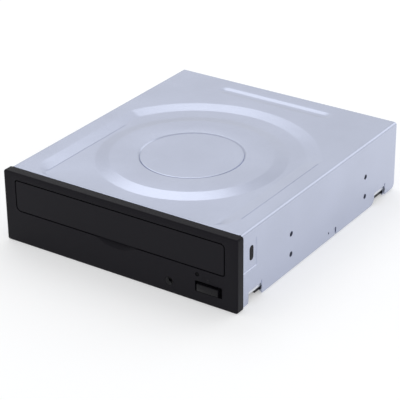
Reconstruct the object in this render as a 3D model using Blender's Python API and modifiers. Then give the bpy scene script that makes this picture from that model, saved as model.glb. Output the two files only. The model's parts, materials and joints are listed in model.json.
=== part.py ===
"""Internal disc writer for a half-height drive bay.

A tray carries the disc out through the front bezel on a rack, driven by a motor, a belt and
two gears. Under the tray a lift frame, hinged at the rear, raises the spindle and the laser
pickup through the tray's window when the cam slider moves across the drive.

Everything is in metres with +Z up. Lengths along the drive are measured backwards from the
rear face of the bezel, and one empty moves the whole drive so that its origin is under the
middle of its outer box.
"""
import math

import bmesh
import bpy
from mathutils import Matrix, Vector

# Sheet metal and running clearances
sheet = 0.0008
gap = 0.0003
slide_gap = 0.0004
bend_radius = 0.0016
cut_through = 0.002

# Disc, tray and the widths that follow from them
disc_radius = 0.060
disc_clearance = 0.00025
small_disc_radius = 0.040
tray_rim = 0.00325
tongue_reach = 0.0026
rail_wall = 0.0041
flange_clearance = 0.0005
bezel_lip = 0.0011

tray_half = disc_radius + disc_clearance + tray_rim
tongue_half = tray_half + tongue_reach
channel_half = tray_half + slide_gap
groove_half = tongue_half + slide_gap
loader_half = groove_half + rail_wall
flange_inside = loader_half + flange_clearance
flange_outside = flange_inside + sheet
wall_inside = flange_outside + gap
body_half = wall_inside + sheet
bezel_half = body_half + bezel_lip

# Lengths behind the bezel
bezel_depth = 0.0055
disc_centre = 0.064
pivot_distance = 0.082
rear_room = 0.0155
button_proud = 0.0012

pivot_y = disc_centre + pivot_distance
body_depth = pivot_y + rear_room
overall_depth = button_proud + bezel_depth + body_depth
drive_shift = button_proud + bezel_depth - overall_depth / 2

# Heights above the bottom face
body_height = 0.0417
cover_wall_low = 0.0005
motor_room = 0.0008
motor_height = 0.0113
deck_thickness = 0.0016
wheel_thickness = 0.0020
rack_height = 0.0030
tray_floor_thickness = 0.0014
small_well_step = 0.0011
disc_well_depth = 0.0022

deck_low = sheet + motor_room + motor_height + gap
deck_top = deck_low + deck_thickness
pulley_low = deck_top + slide_gap
pulley_high = pulley_low + wheel_thickness
wheel_low = pulley_high + gap
wheel_high = wheel_low + wheel_thickness
rack_low = wheel_high + 0.0005
tray_low = rack_low + rack_height
small_well = tray_low + tray_floor_thickness
disc_well = small_well + small_well_step
tray_top = disc_well + disc_well_depth
loader_low = sheet + gap
bed_top = wheel_high - 0.0001
loader_top = tray_top + 0.0027

# Tray
tray_front = -0.0012
tray_tail = 0.02575
tray_travel = 0.130
window_half = 0.0195
window_reach = 0.0602
scallop_radius = 0.009
pocket_roof = 0.0017
tongue_low = tray_low + 0.0013
tongue_high = tongue_low + 0.0018

tray_rear = disc_centre + disc_radius + disc_clearance + tray_tail

# Rack, gears and belt
rack_module = 0.001
pinion_teeth = 16
train_module = 0.0008
wheel_teeth = 30
pulley_teeth = 12
gear_line = 0.016
rack_pitch_x = tray_half - 0.0345
tooth_play = 0.00016
axle_radius = 0.00125
axle_play = 0.0003
pulley_radius = 0.0084
motor_pulley_radius = 0.0030
belt_thickness = 0.0010
belt_height = 0.0008
motor_radius = 0.010

wheel_x = rack_pitch_x - rack_module * pinion_teeth / 2
pulley_x = wheel_x - train_module * (wheel_teeth + pulley_teeth) / 2
motor_x = pulley_x - 0.0292

# Lift frame, cam slider and the tilt of the rest pose
spindle_drop = 0.007
cam_travel = 0.016
lift_half = 0.048
lift_beam = 0.007
lift_low = 0.011
lift_high = 0.016
lift_front = 0.037
pivot_z = 0.0125
trunnion_radius = 0.0018
cam_pin_radius = 0.0015
cam_pin_x = 0.016
cam_pin_z = 0.0145
cam_play = 0.0004
slider_front = 0.032
slider_thickness = 0.0018
follower_x = -0.030
opening_half = lift_half + 0.0015

tilt = math.asin(spindle_drop / pivot_distance)

# Traverse chassis with spindle, rods, pickup and sled motor, at their raised height
chassis_half = lift_half - 0.008
chassis_front = disc_centre - 0.019
chassis_rear = pivot_y - 0.003
chassis_low = 0.0125
chassis_top = 0.0188
chassis_sheet = 0.0012
lug_half = 0.0039
rod_x = chassis_half - 0.017
rod_z = 0.0145
rod_radius = 0.0015
rod_play = 0.0002
sled_half = rod_x - 0.004
sled_front = disc_centre + 0.015
sled_length = 0.022
sled_travel = 0.034
lens_y = sled_front + 0.0075
screw_x = 0.0065 - chassis_half
screw_z = 0.0122
screw_pitch = 0.003
sled_motor_radius = 0.005
sled_motor_front = chassis_rear - 0.017
rotor_radius = 0.013
disc_seat = 0.0270

# Bezel, door and button
door_gap = 0.0006
door_half = tongue_half - 0.0001
door_low = rack_low - 0.0003
door_high = tray_top + 0.0093
bezel_wall = 0.0022
bezel_rim = 0.0016
button_right = bezel_half - 0.0111
button_left = button_right - 0.0128
button_low = 0.0070
button_high = 0.0110
button_travel = 0.0008
lamp_x = button_left - 0.0002
lamp_z = 0.0159

# Mounting holes of a half-height drive
mount_front = 0.0474
mount_spacing = 0.07925
side_hole_low = 0.00991
side_hole_high = 0.02184
side_hole_radius = 0.0015
thread_hole_radius = 0.0012
bottom_hole_half = flange_outside - 0.00205

# Circuit board
board_half = lift_half - 0.001
board_front = 0.084
board_low = 0.0022
board_thickness = 0.0016

board_top = board_low + board_thickness

SMALL_ROUND = 10
ROUND = 20
MEDIUM_ROUND = 32
FINE_ROUND = 44

for old in list(bpy.data.objects):
    bpy.data.objects.remove(old, do_unlink=True)

parts = bpy.data.collections.new("internal_dvd_writer")
cutters = bpy.data.collections.new("cutters")
bpy.context.scene.collection.children.link(parts)
bpy.context.scene.collection.children.link(cutters)


# Empties that carry the pieces

def empty(name, place, parent=None, turn_x=0.0):
    """An empty on a joint's axis, placed in the drive's own lengths."""
    holder = bpy.data.objects.new(name, None)
    holder.empty_display_size = 0.01
    holder.location = place
    holder.rotation_euler = (turn_x, 0, 0)
    parts.objects.link(holder)
    holder.parent = parent
    return holder


drive = empty("drive_origin", (0, drive_shift, 0))


def child_empty(name, place, carrier=None, turn_x=0.0):
    holder = empty(name, place, carrier or drive, turn_x)
    if carrier:
        holder.matrix_parent_inverse = Matrix.Translation(-carrier.location)
    return holder


def ride_on(holder, *pieces):
    """Hang pieces, with the cutters in their modifiers, on an empty without moving them."""
    for piece in pieces:
        piece.parent = holder
        piece.matrix_parent_inverse = Matrix.Translation(-holder.location)
        tools = [m.object for m in piece.modifiers if m.type == "BOOLEAN"]
        ride_on(holder, *tools)


# Solid builders

def add_object(name, data):
    piece = bpy.data.objects.new(name, data)
    parts.objects.link(piece)
    piece.parent = drive
    return piece


def object_from(name, shape):
    mesh = bpy.data.meshes.new(name)
    shape.to_mesh(mesh)
    shape.free()
    return add_object(name, mesh)


def block(name, x, y, z, round_along=None, radius=0.0, steps=3):
    """A box between pairs of limits, with the edges along one axis rounded if asked."""
    low = Vector((x[0], y[0], z[0]))
    high = Vector((x[1], y[1], z[1]))
    shape = bmesh.new()
    place = Matrix.Translation((low + high) / 2) @ Matrix.Diagonal((*(high - low), 1))
    bmesh.ops.create_cube(shape, size=1, matrix=place)
    if round_along:
        axis = "XYZ".index(round_along)
        edges = [e for e in shape.edges
                 if abs((e.verts[0].co - e.verts[1].co)[axis]) > 0.9 * (high - low)[axis]]
        bmesh.ops.bevel(shape, geom=edges, offset=radius, segments=steps, profile=0.5,
                        affect="EDGES", clamp_overlap=True)
    return object_from(name, shape)


TURN = {"X": Matrix.Rotation(math.pi / 2, 4, "Y"),
        "Y": Matrix.Rotation(-math.pi / 2, 4, "X"),
        "Z": Matrix.Identity(4)}


def rod(name, centre, span, radius, along="Z", end_radius=None, segments=ROUND):
    """A cylinder or cone along an axis; centre gives the other two coordinates."""
    axis = "XYZ".index(along)
    middle = list(centre)
    middle.insert(axis, (span[0] + span[1]) / 2)
    shape = bmesh.new()
    place = Matrix.Translation(middle) @ TURN[along]
    far = radius if end_radius is None else end_radius
    bmesh.ops.create_cone(shape, cap_ends=True, cap_tris=False, segments=segments,
                          radius1=radius, radius2=far, depth=span[1] - span[0], matrix=place)
    return object_from(name, shape)


FLAT = {"Z": Matrix.Identity(4),
        "X": Matrix(((0, 0, 1, 0), (1, 0, 0, 0), (0, 1, 0, 0), (0, 0, 0, 1))),
        "Y": Matrix(((1, 0, 0, 0), (0, 0, -1, 0), (0, 1, 0, 0), (0, 0, 0, 1)))}


def plate(name, outlines, span, along="Z"):
    """Flat outlines, holes included, given a thickness along an axis."""
    curve = bpy.data.curves.new(name, "CURVE")
    curve.dimensions = "2D"
    curve.fill_mode = "BOTH"
    curve.extrude = (span[1] - span[0]) / 2
    for outline in outlines:
        line = curve.splines.new("POLY")
        line.points.add(len(outline) - 1)
        line.use_cyclic_u = True
        for point, (u, v) in zip(line.points, outline):
            point.co = (u, v, 0, 1)
    flat = bpy.data.objects.new(name, curve)
    parts.objects.link(flat)
    bpy.context.view_layer.update()
    graph = bpy.context.evaluated_depsgraph_get()
    mesh = bpy.data.meshes.new_from_object(flat.evaluated_get(graph))
    bpy.data.objects.remove(flat, do_unlink=True)
    bpy.data.curves.remove(curve)
    shape = bmesh.new()
    shape.from_mesh(mesh)
    bpy.data.meshes.remove(mesh)
    bmesh.ops.remove_doubles(shape, verts=shape.verts, dist=1e-6)
    middle = (span[0] + span[1]) / 2
    lift = Vector((0, 0, 0))
    lift["XYZ".index(along)] = middle
    bmesh.ops.transform(shape, matrix=Matrix.Translation(lift) @ FLAT[along], verts=shape.verts)
    bmesh.ops.recalc_face_normals(shape, faces=shape.faces)
    return object_from(name, shape)


def turned(name, profile, centre, steps=ROUND):
    """A closed or axis-to-axis profile of (radius, height) spun round a vertical axis."""
    mesh = bpy.data.meshes.new(name)
    closed = profile[0][0] > 0
    count = len(profile)
    edges = [(i, (i + 1) % count) for i in range(count if closed else count - 1)]
    mesh.from_pydata([(r, 0, z) for r, z in profile], edges, [])
    piece = add_object(name, mesh)
    piece.location = (centre[0], centre[1], 0)
    screw = piece.modifiers.new("turn", "SCREW")
    screw.axis = "Z"
    screw.angle = math.tau
    screw.steps = steps
    screw.render_steps = steps
    screw.use_merge_vertices = True
    screw.merge_threshold = 0.00001
    return piece


def combine(piece, operation, tools):
    for tool in tools:
        modifier = piece.modifiers.new(operation.lower(), "BOOLEAN")
        modifier.operation = operation
        modifier.solver = "EXACT"
        modifier.object = tool
        tool.hide_render = True
        tool.display_type = "WIRE"
        if tool.name in parts.objects:
            parts.objects.unlink(tool)
            cutters.objects.link(tool)
    return piece


def cut(piece, *tools):
    return combine(piece, "DIFFERENCE", tools)


def join(piece, *tools):
    return combine(piece, "UNION", tools)


def arc(centre, radius, start, end, steps):
    """Points on an arc from one angle to another, in degrees."""
    points = []
    for i in range(steps + 1):
        angle = math.radians(start + (end - start) * i / steps)
        points.append((centre[0] + radius * math.cos(angle),
                       centre[1] + radius * math.sin(angle)))
    return points


def circle(centre, radius, steps=ROUND):
    return arc(centre, radius, 0, 360 * (1 - 1 / steps), steps - 1)


def slot(start, end, radius, steps=4):
    """A slot with round ends between two points."""
    heading = math.degrees(math.atan2(end[1] - start[1], end[0] - start[0]))
    return (arc(end, radius, heading - 90, heading + 90, steps)
            + arc(start, radius, heading + 90, heading + 270, steps))


def rounded(u, v, radii, steps=4):
    """A rectangle with a radius for each corner, from low-low round anticlockwise."""
    corners = [(u[0], v[0], 1, 1, 180), (u[1], v[0], -1, 1, 270),
               (u[1], v[1], -1, -1, 0), (u[0], v[1], 1, -1, 90)]
    points = []
    for (cu, cv, su, sv, start), radius in zip(corners, radii):
        points += arc((cu + su * radius, cv + sv * radius), radius, start, start + 90, steps)
    return points


def loft(name, loops):
    """A solid through closed loops that have the same number of points."""
    shape = bmesh.new()
    rings = []
    for loop in loops:
        verts = [shape.verts.new(point) for point in loop]
        rings.append([shape.edges.new((a, b)) for a, b in zip(verts, verts[1:] + verts[:1])])
    for lower, upper in zip(rings, rings[1:]):
        bmesh.ops.bridge_loops(shape, edges=lower + upper)
    for ring in (rings[0], rings[-1]):
        bmesh.ops.contextual_create(shape, geom=ring)
    bmesh.ops.recalc_face_normals(shape, faces=shape.faces)
    return object_from(name, shape)


# Materials

FINISHES = {
    "zinc_steel": ((0.52, 0.54, 0.60), 0.38, 1.0),
    "bright_steel": ((0.68, 0.69, 0.71), 0.22, 1.0),
    "dark_steel": ((0.25, 0.25, 0.27), 0.40, 1.0),
    "black_case": ((0.018, 0.018, 0.020), 0.42, 0.0),
    "black_frame": ((0.030, 0.030, 0.033), 0.55, 0.0),
    "white_gear": ((0.78, 0.77, 0.72), 0.45, 0.0),
    "grey_slider": ((0.22, 0.23, 0.25), 0.50, 0.0),
    "rubber": ((0.020, 0.020, 0.020), 0.80, 0.0),
    "diecast": ((0.45, 0.45, 0.46), 0.45, 1.0),
    "lens_glass": ((0.35, 0.40, 0.60), 0.05, 0.0),
    "smoked_clear": ((0.05, 0.05, 0.05), 0.20, 0.0),
    "board_green": ((0.02, 0.11, 0.05), 0.45, 0.0),
    "chip_black": ((0.015, 0.015, 0.016), 0.50, 0.0),
    "copper": ((0.70, 0.32, 0.18), 0.35, 1.0),
}


def finish(piece, finish_name):
    """Give a piece its own material."""
    colour, roughness, metallic = FINISHES[finish_name]
    material = bpy.data.materials.new(piece.name)
    material.use_nodes = True
    shader = material.node_tree.nodes["Principled BSDF"]
    shader.inputs["Base Color"].default_value = (*colour, 1)
    shader.inputs["Roughness"].default_value = roughness
    shader.inputs["Metallic"].default_value = metallic
    material.diffuse_color = (*colour, 1)
    piece.data.materials.clear()
    piece.data.materials.append(material)
    return piece


both_sides = (-1, 1)
mount_rows = (mount_front, mount_front + mount_spacing)


# Top cover: one pressed and folded sheet, top and two side walls

panel_depth = 0.0010
panel_slope = 0.0080
panel_radius = disc_radius + 0.0005
panel_half = body_half - 0.0180
panel_corner = 0.012
panel_front = -0.001
plateau_foot = disc_radius - 0.0075
plateau_top = disc_radius - 0.0155
ring_radius = 0.0282
ring_depth = 0.0003
rib_half = body_half - 0.0390
rib_y = 0.1483
rib_radius = 0.0035
rib_depth = 0.0007
clip_dimple = 0.0005
clip_dimple_rear = 0.014
clip_dimple_low = body_height - 0.0222
clip_dimple_high = body_height - 0.0067
cover_front = gap


def panel_outline(grow):
    """The recessed panel: an arc round the spindle cut off by two straight sides."""
    reach = panel_radius + grow
    half = panel_half + grow
    corner = panel_corner + grow
    bend = math.degrees(math.acos(half / reach))
    points = arc((0, disc_centre), reach, bend, 180 - bend, 20)
    points += arc((-half + corner, panel_front - grow + corner), corner, 180, 270, 4)
    points += arc((half - corner, panel_front - grow + corner), corner, 270, 360, 4)
    return points


def press_profile(depth, steps=3):
    """Share of the slope and height above the floor, with soft bends at foot and shoulder."""
    for i in range(steps + 1):
        t = i / steps
        yield t, depth * t * t * (3 - 2 * t)


def pressed_form(name, inset):
    """The cover's outside, or its inside when inset by the sheet's thickness."""
    past = cut_through if inset else 0
    top = body_height - inset
    half = body_half - inset
    form = block(name, (-half, half), (cover_front - past, body_depth + past),
                 (cover_wall_low - past, top))
    radius = bend_radius - inset
    shape = bmesh.new()
    shape.from_mesh(form.data)
    long_edges = [e for e in shape.edges
                  if all(abs(v.co.z - top) < 1e-6 for v in e.verts)
                  and abs(e.verts[0].co.y - e.verts[1].co.y) > 0.01]
    bmesh.ops.bevel(shape, geom=long_edges, offset=radius, segments=4, profile=0.5,
                    affect="EDGES")
    shape.to_mesh(form.data)
    shape.free()

    floor = top - panel_depth
    loops = [[(x, y, floor + height) for x, y in panel_outline(share * panel_slope)]
             for share, height in press_profile(panel_depth)]
    loops.append([(x, y, top + cut_through) for x, y in panel_outline(panel_slope)])
    panel = loft(name + "_panel", loops)
    slope = plateau_foot - plateau_top
    steps = list(press_profile(panel_depth))
    profile = [(0, top + 2 * cut_through), (plateau_top, top + 2 * cut_through)]
    profile += [(plateau_foot - share * slope, floor + height)
                for share, height in reversed(steps)]
    profile += [(plateau_foot, floor - cut_through), (0, floor - cut_through)]
    plateau = turned(name + "_plateau", profile, (0, disc_centre), FINE_ROUND)
    cut(panel, plateau)
    ring = rod(name + "_ring", (0, disc_centre), (top - ring_depth, top + cut_through),
               ring_radius, segments=FINE_ROUND)
    rib_loops = []
    for share, height in press_profile(rib_depth, 2):
        outline = slot((-rib_half, rib_y), (rib_half, rib_y), rib_radius * (0.45 + 0.55 * share))
        rib_loops.append([(x, y, top - rib_depth + height) for x, y in outline])
    rib_loops.append([(x, y, top + cut_through) for x, y, z in rib_loops[-1]])
    rib = loft(name + "_rib", rib_loops)
    dimples = []
    for side in both_sides:
        face = side * half
        inner = side * (half - clip_dimple)
        outer = side * (half + cut_through)
        loops = []
        for x, grow in ((inner, 0), (face, clip_dimple), (outer, clip_dimple)):
            loops.append([(x, y, z) for y, z in
                          rounded((-0.01, clip_dimple_rear + grow),
                                  (clip_dimple_low - grow, clip_dimple_high + grow),
                                  (0.0008, 0.0008, 0.0008, 0.0008), 2)])
        dimples.append(loft(f"{name}_dimple_{side}", loops))
    return cut(form, panel, ring, rib, *dimples)


clip_slot_y = 0.00965
clip_slot_low = body_height - 0.0179
clip_slot_high = body_height - 0.0095
clip_slot_radius = 0.00185
notch_top = 0.0070
notch_front = (0.0064, 0.0180)
notch_rear = (0.1380, 0.1494)
relief_width = 0.0013
relief_top = 0.0083
tab_low = 0.0012


def notch_outlines():
    """Cut-outs along the bottom edge of each side wall, as (length, height) outlines."""
    below = -cut_through
    front, back = notch_front
    yield [(front - 0.0008, below), (front, 0.0025), (front, notch_top), (back, notch_top),
           (back, relief_top), (back + relief_width, relief_top), (back + relief_width, below)]
    front, back = notch_rear
    corner = 0.004
    yield ([(front - corner, below)]
           + arc((front - corner, cover_wall_low + corner), corner, -90, 0, 5)
           + [(front, notch_top), (back, notch_top), (back, relief_top),
              (back + relief_width, relief_top), (back + relief_width, below)])
    corner = 0.003
    yield ([(back + relief_width / 2, below), (back + relief_width / 2, tab_low)]
           + arc((body_depth - corner, tab_low + corner), corner, -90, 0, 4)
           + [(body_depth + cut_through, tab_low + corner), (body_depth + cut_through, below)])
    yield [(0.0935, below), (0.0935, 0.0050), (0.0950, 0.0050), (0.0950, below)]


def make_top_cover():
    across = (-bezel_half, bezel_half)
    cover = pressed_form("top_cover", 0)
    cut(cover, pressed_form("top_cover_inside", sheet))
    tools = []
    for row, y in enumerate(mount_rows):
        for level, z in enumerate((side_hole_low, side_hole_high)):
            tools.append(rod(f"side_hole_{row}_{level}", (y, z), across, side_hole_radius, "X",
                             segments=SMALL_ROUND))
    clip = slot((clip_slot_y, clip_slot_low + clip_slot_radius),
                (clip_slot_y, clip_slot_high - clip_slot_radius), clip_slot_radius, 5)
    tools.append(plate("clip_slots", [clip], across, "X"))
    for number, outline in enumerate(notch_outlines()):
        tools.append(plate(f"edge_notch_{number}", [outline], across, "X"))
    tools.append(rod("tab_hole", (0.0868, 0.0045), across, 0.0006, "X", segments=8))
    return finish(cut(cover, *tools), "zinc_steel")


# Bottom cover: folded plate with side flanges and the rear wall

flange_top = body_height - 0.0177
flange_front = 0.0245
flange_foot = 0.0018
plate_notch_x = flange_inside - 0.0037
plate_notches = ((0.0064, 0.0190, 0.0228), (0.1345, 0.1490, 0.1530))
screw_dimple_radius = 0.0045
screw_dimple_depth = 0.0012
cover_screw_x = flange_inside - 0.0111
cover_screw_rows = (0.0265, 0.1525)
screw_tip = 0.0085
floor_rib_rows = (0.0380, 0.0560, 0.0740)
floor_rib_half = lift_half - 0.008
floor_rib_radius = 0.0025
screw_radius = 0.00145
screw_head_radius = 0.0027
screw_head_height = 0.0008
standoff_radius = 0.0022
connector_x = (0.0030 - board_half, 0.0410 - board_half)
connector_front = pivot_y + 0.0060
connector_high = 0.0126
rear_wall_high = body_height - sheet - gap
corner_relief = 0.0030


def board_supports():
    for side in both_sides:
        for y in (board_front + 0.006, board_front + 0.060):
            yield side * (board_half - 0.004), y


def make_bottom_cover():
    rear_inside = body_depth - sheet
    cover = block("bottom_cover", (-flange_outside, flange_outside), (gap, body_depth),
                  (0, rear_wall_high), "Y", 0.0012, 3)
    cut(cover, block("tub_inside", (-flange_inside, flange_inside),
                     (-cut_through, rear_inside), (sheet, body_height)))
    past = flange_outside + cut_through
    cut(cover,
        block("flange_trim", (-past, past), (-cut_through, body_depth - corner_relief),
              (flange_top, body_height + cut_through)),
        block("front_trim", (-past, past), (-cut_through, flange_front),
              (flange_foot, flange_top + cut_through)))
    for side in both_sides:
        relief_x = sorted((side * (flange_inside - 0.002), side * past))
        name = "left" if side < 0 else "right"
        for number, (start, outer_end, inner_end) in enumerate(plate_notches):
            inner_x = side * plate_notch_x
            outer_x = side * past
            outline = [(inner_x, start), (outer_x, start), (outer_x, outer_end),
                       (inner_x, inner_end)]
            cut(cover, plate(f"plate_notch_{name}_{number}", [outline],
                             (-cut_through, flange_top + cut_through)))
        cut(cover, block(f"corner_relief_{name}", relief_x,
                         (body_depth - corner_relief, rear_inside),
                         (flange_top / 2, body_height + cut_through)))
        dimples = []
        for number, y in enumerate(cover_screw_rows):
            spot = (side * cover_screw_x, y)
            join(cover, rod(f"dimple_{name}_{number}", spot, (sheet / 2, sheet + screw_dimple_depth),
                            screw_dimple_radius + sheet))
            dimples.append(rod(f"dimple_inside_{name}_{number}", spot,
                               (-cut_through, screw_dimple_depth), screw_dimple_radius))
            dimples.append(rod(f"screw_hole_{name}_{number}", spot, (-cut_through, 0.006),
                               screw_radius + gap, segments=SMALL_ROUND))
        cut(cover, *dimples)
        for number, y in enumerate(mount_rows):
            cut(cover, rod(f"bottom_thread_{name}_{number}", (side * bottom_hole_half, y),
                           (-cut_through, sheet * 2), thread_hole_radius, segments=SMALL_ROUND))
    for number, spot in enumerate(board_supports()):
        join(cover, rod(f"standoff_{number}", spot, (sheet / 2, board_low - gap),
                        standoff_radius, segments=SMALL_ROUND))
        cut(cover, rod(f"standoff_inside_{number}", spot, (-cut_through, board_low - gap - sheet),
                       standoff_radius - sheet, segments=SMALL_ROUND))
    for row, y in enumerate(mount_rows):
        for level, z in enumerate((side_hole_low, side_hole_high)):
            cut(cover, rod(f"flange_thread_{row}_{level}", (y, z), (-past, past),
                           thread_hole_radius, "X", segments=SMALL_ROUND))
    cut(cover, block("connector_window", (connector_x[0] - 0.001, connector_x[1] + 0.001),
                     (rear_inside - cut_through, body_depth + cut_through),
                     (board_low, connector_high + 0.0008), "Y", 0.0008, 2))
    for number, y in enumerate(floor_rib_rows):
        inner = slot((-floor_rib_half, y), (floor_rib_half, y), floor_rib_radius)
        outer = slot((-floor_rib_half, y), (floor_rib_half, y), floor_rib_radius + sheet)
        join(cover, plate(f"floor_rib_{number}", [outer], (sheet / 2, sheet + 0.0005)))
        cut(cover, plate(f"floor_rib_inside_{number}", [inner], (-cut_through, 0.0005)))
    return finish(cover, "zinc_steel")


# Loader frame: the moulded bed with tray rails, gear bay and axles

frame_front = 0.0012
bay_left = motor_x - 0.0220
bay_right = wheel_x + 0.0190
bay_front = 0.0032
bay_rear = 0.0298
bay_wall = 0.0018
bay_wall_top = 0.0168
frame_rear = body_depth - sheet - 0.0021
rear_beam_front = pivot_y + 0.0045
rear_beam_low = 0.0135
switch_bay = (bay_right + 0.0020, channel_half + 0.0021)
switch_bay_rear = 0.0095
clip_relief_half = loader_half - 0.0014
clip_relief_rear = 0.0160
side_pocket = (opening_half + 0.0020, loader_half - 0.0020)
bridge_screw_x = groove_half + rail_wall / 2
bridge_screw_radius = 0.0010
bridge_screw_length = 0.0040
boss_radius = 0.0036


def make_loader_frame():
    above = loader_top + cut_through
    below = loader_low - cut_through
    pinned = bed_top - pocket_roof
    frame = block("loader_frame", (-loader_half, loader_half), (frame_front, frame_rear),
                  (loader_low, loader_top))
    cut(frame,
        block("tray_channel", (-channel_half, channel_half),
              (-cut_through, frame_rear + cut_through), (bed_top, above)),
        block("rail_grooves", (-groove_half, groove_half),
              (-cut_through, frame_rear + cut_through),
              (tongue_low - slide_gap, tongue_high + slide_gap)),
        block("lift_opening", (-opening_half, opening_half),
              (bay_rear + bay_wall, rear_beam_front), (below, above)),
        block("gear_bay", (bay_left, bay_right), (bay_front, bay_rear), (deck_top, above)),
        block("bay_rear_gap", (bay_left, bay_right), (bay_rear - 0.001, slider_front),
              (bay_wall_top, above)),
        block("motor_pocket", (bay_left, bay_right), (bay_front, bay_rear), (below, deck_low)),
        block("switch_bay", switch_bay, (-cut_through, switch_bay_rear), (below, above)),
        block("bay_corner_pocket", (switch_bay[0], channel_half),
              (switch_bay_rear + bay_wall, bay_rear), (below, pinned)),
        block("rear_under", (-opening_half, opening_half),
              (rear_beam_front - cut_through, frame_rear + cut_through),
              (below, rear_beam_low)))
    for side in both_sides:
        name = "left" if side < 0 else "right"
        pocket = sorted(side * x for x in side_pocket)
        relief = sorted((side * clip_relief_half, side * (loader_half + cut_through)))
        cut(frame,
            block(f"side_pocket_{name}", pocket, (bay_rear + bay_wall, frame_rear - bay_wall),
                  (below, pinned)),
            block(f"clip_relief_{name}", relief, (-cut_through, clip_relief_rear),
                  (below, above)))
        for number, y in enumerate(cover_screw_rows):
            spot = (side * cover_screw_x, y)
            boss_low = sheet + screw_dimple_depth + gap
            join(frame, rod(f"boss_{name}_{number}", spot, (boss_low, pinned + 0.001),
                            boss_radius))
            cut(frame,
                rod(f"boss_foot_{name}_{number}", spot, (below, boss_low),
                    screw_dimple_radius + sheet + slide_gap),
                rod(f"boss_bore_{name}_{number}", spot, (below, 0.010), screw_radius + gap,
                    segments=SMALL_ROUND))
        cut(frame,
            rod(f"trunnion_seat_{name}", (pivot_y, pivot_z),
                sorted((side * lift_half, side * (side_pocket[0] + cut_through))),
                trunnion_radius + slide_gap, "X"),
            rod(f"bridge_bore_{name}", (side * bridge_screw_x, disc_centre),
                (loader_top - bridge_screw_length - gap, above), bridge_screw_radius + gap,
                segments=SMALL_ROUND))
    join(frame,
         rod("wheel_axle", (wheel_x, gear_line), (deck_low + 0.0005, tray_low - 0.0006),
             axle_radius, segments=SMALL_ROUND),
         rod("pulley_axle", (pulley_x, gear_line), (deck_low + 0.0005, wheel_high - 0.0001),
             axle_radius, segments=SMALL_ROUND))
    cut(frame, rod("motor_neck_hole", (motor_x, gear_line), (deck_low - 0.001, deck_top + 0.001),
                   motor_pulley_radius + 0.001))
    return finish(frame, "black_frame")


# Toothed wheels and the rack

def inv(angle):
    return math.tan(angle) - angle


def gear_outline(teeth, module, turn=0.0):
    """Involute teeth with a little play, as an outline round the origin."""
    pressure = math.radians(20)
    pitch = module * teeth / 2
    base = pitch * math.cos(pressure)
    tip = pitch + 0.9 * module
    root = pitch - 1.2 * module
    half_tooth = math.pi / (2 * teeth) - tooth_play / (2 * pitch)
    flank = []
    for radius in (root, pitch, tip):
        reach = math.acos(min(1, base / radius))
        flank.append((radius, half_tooth + inv(pressure) - inv(reach)))
    outline = []
    for tooth in range(teeth):
        middle = turn + math.tau * tooth / teeth
        for radius, half in flank:
            outline.append((radius * math.cos(middle - half), radius * math.sin(middle - half)))
        for radius, half in reversed(flank):
            outline.append((radius * math.cos(middle + half), radius * math.sin(middle + half)))
    return outline


def moved(outline, x, y):
    return [(u + x, v + y) for u, v in outline]


def rack_outline(start, end, back_x):
    """Straight teeth facing -X along the pitch line, with a gap level with the pinion."""
    pitch = math.pi * rack_module
    slope = math.tan(math.radians(20))
    first = math.ceil((start - gear_line) / pitch)
    last = math.floor((end - gear_line) / pitch)
    tip = rack_pitch_x - 0.9 * rack_module
    root = rack_pitch_x + 1.2 * rack_module
    half = pitch / 4 - tooth_play / 2
    outline = [(back_x, start), (root, start)]
    for step in range(first, last):
        middle = gear_line + (step + 0.5) * pitch
        at_root = half + 1.2 * rack_module * slope
        at_tip = half - 0.9 * rack_module * slope
        outline += [(root, middle - at_root), (tip, middle - at_tip),
                    (tip, middle + at_tip), (root, middle + at_root)]
    return outline + [(root, end), (back_x, end)]


# Tray with disc wells, window, rack and cam track

track_play = 0.0004
track_wall = 0.0012
track_low = rack_low + 0.0010


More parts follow.
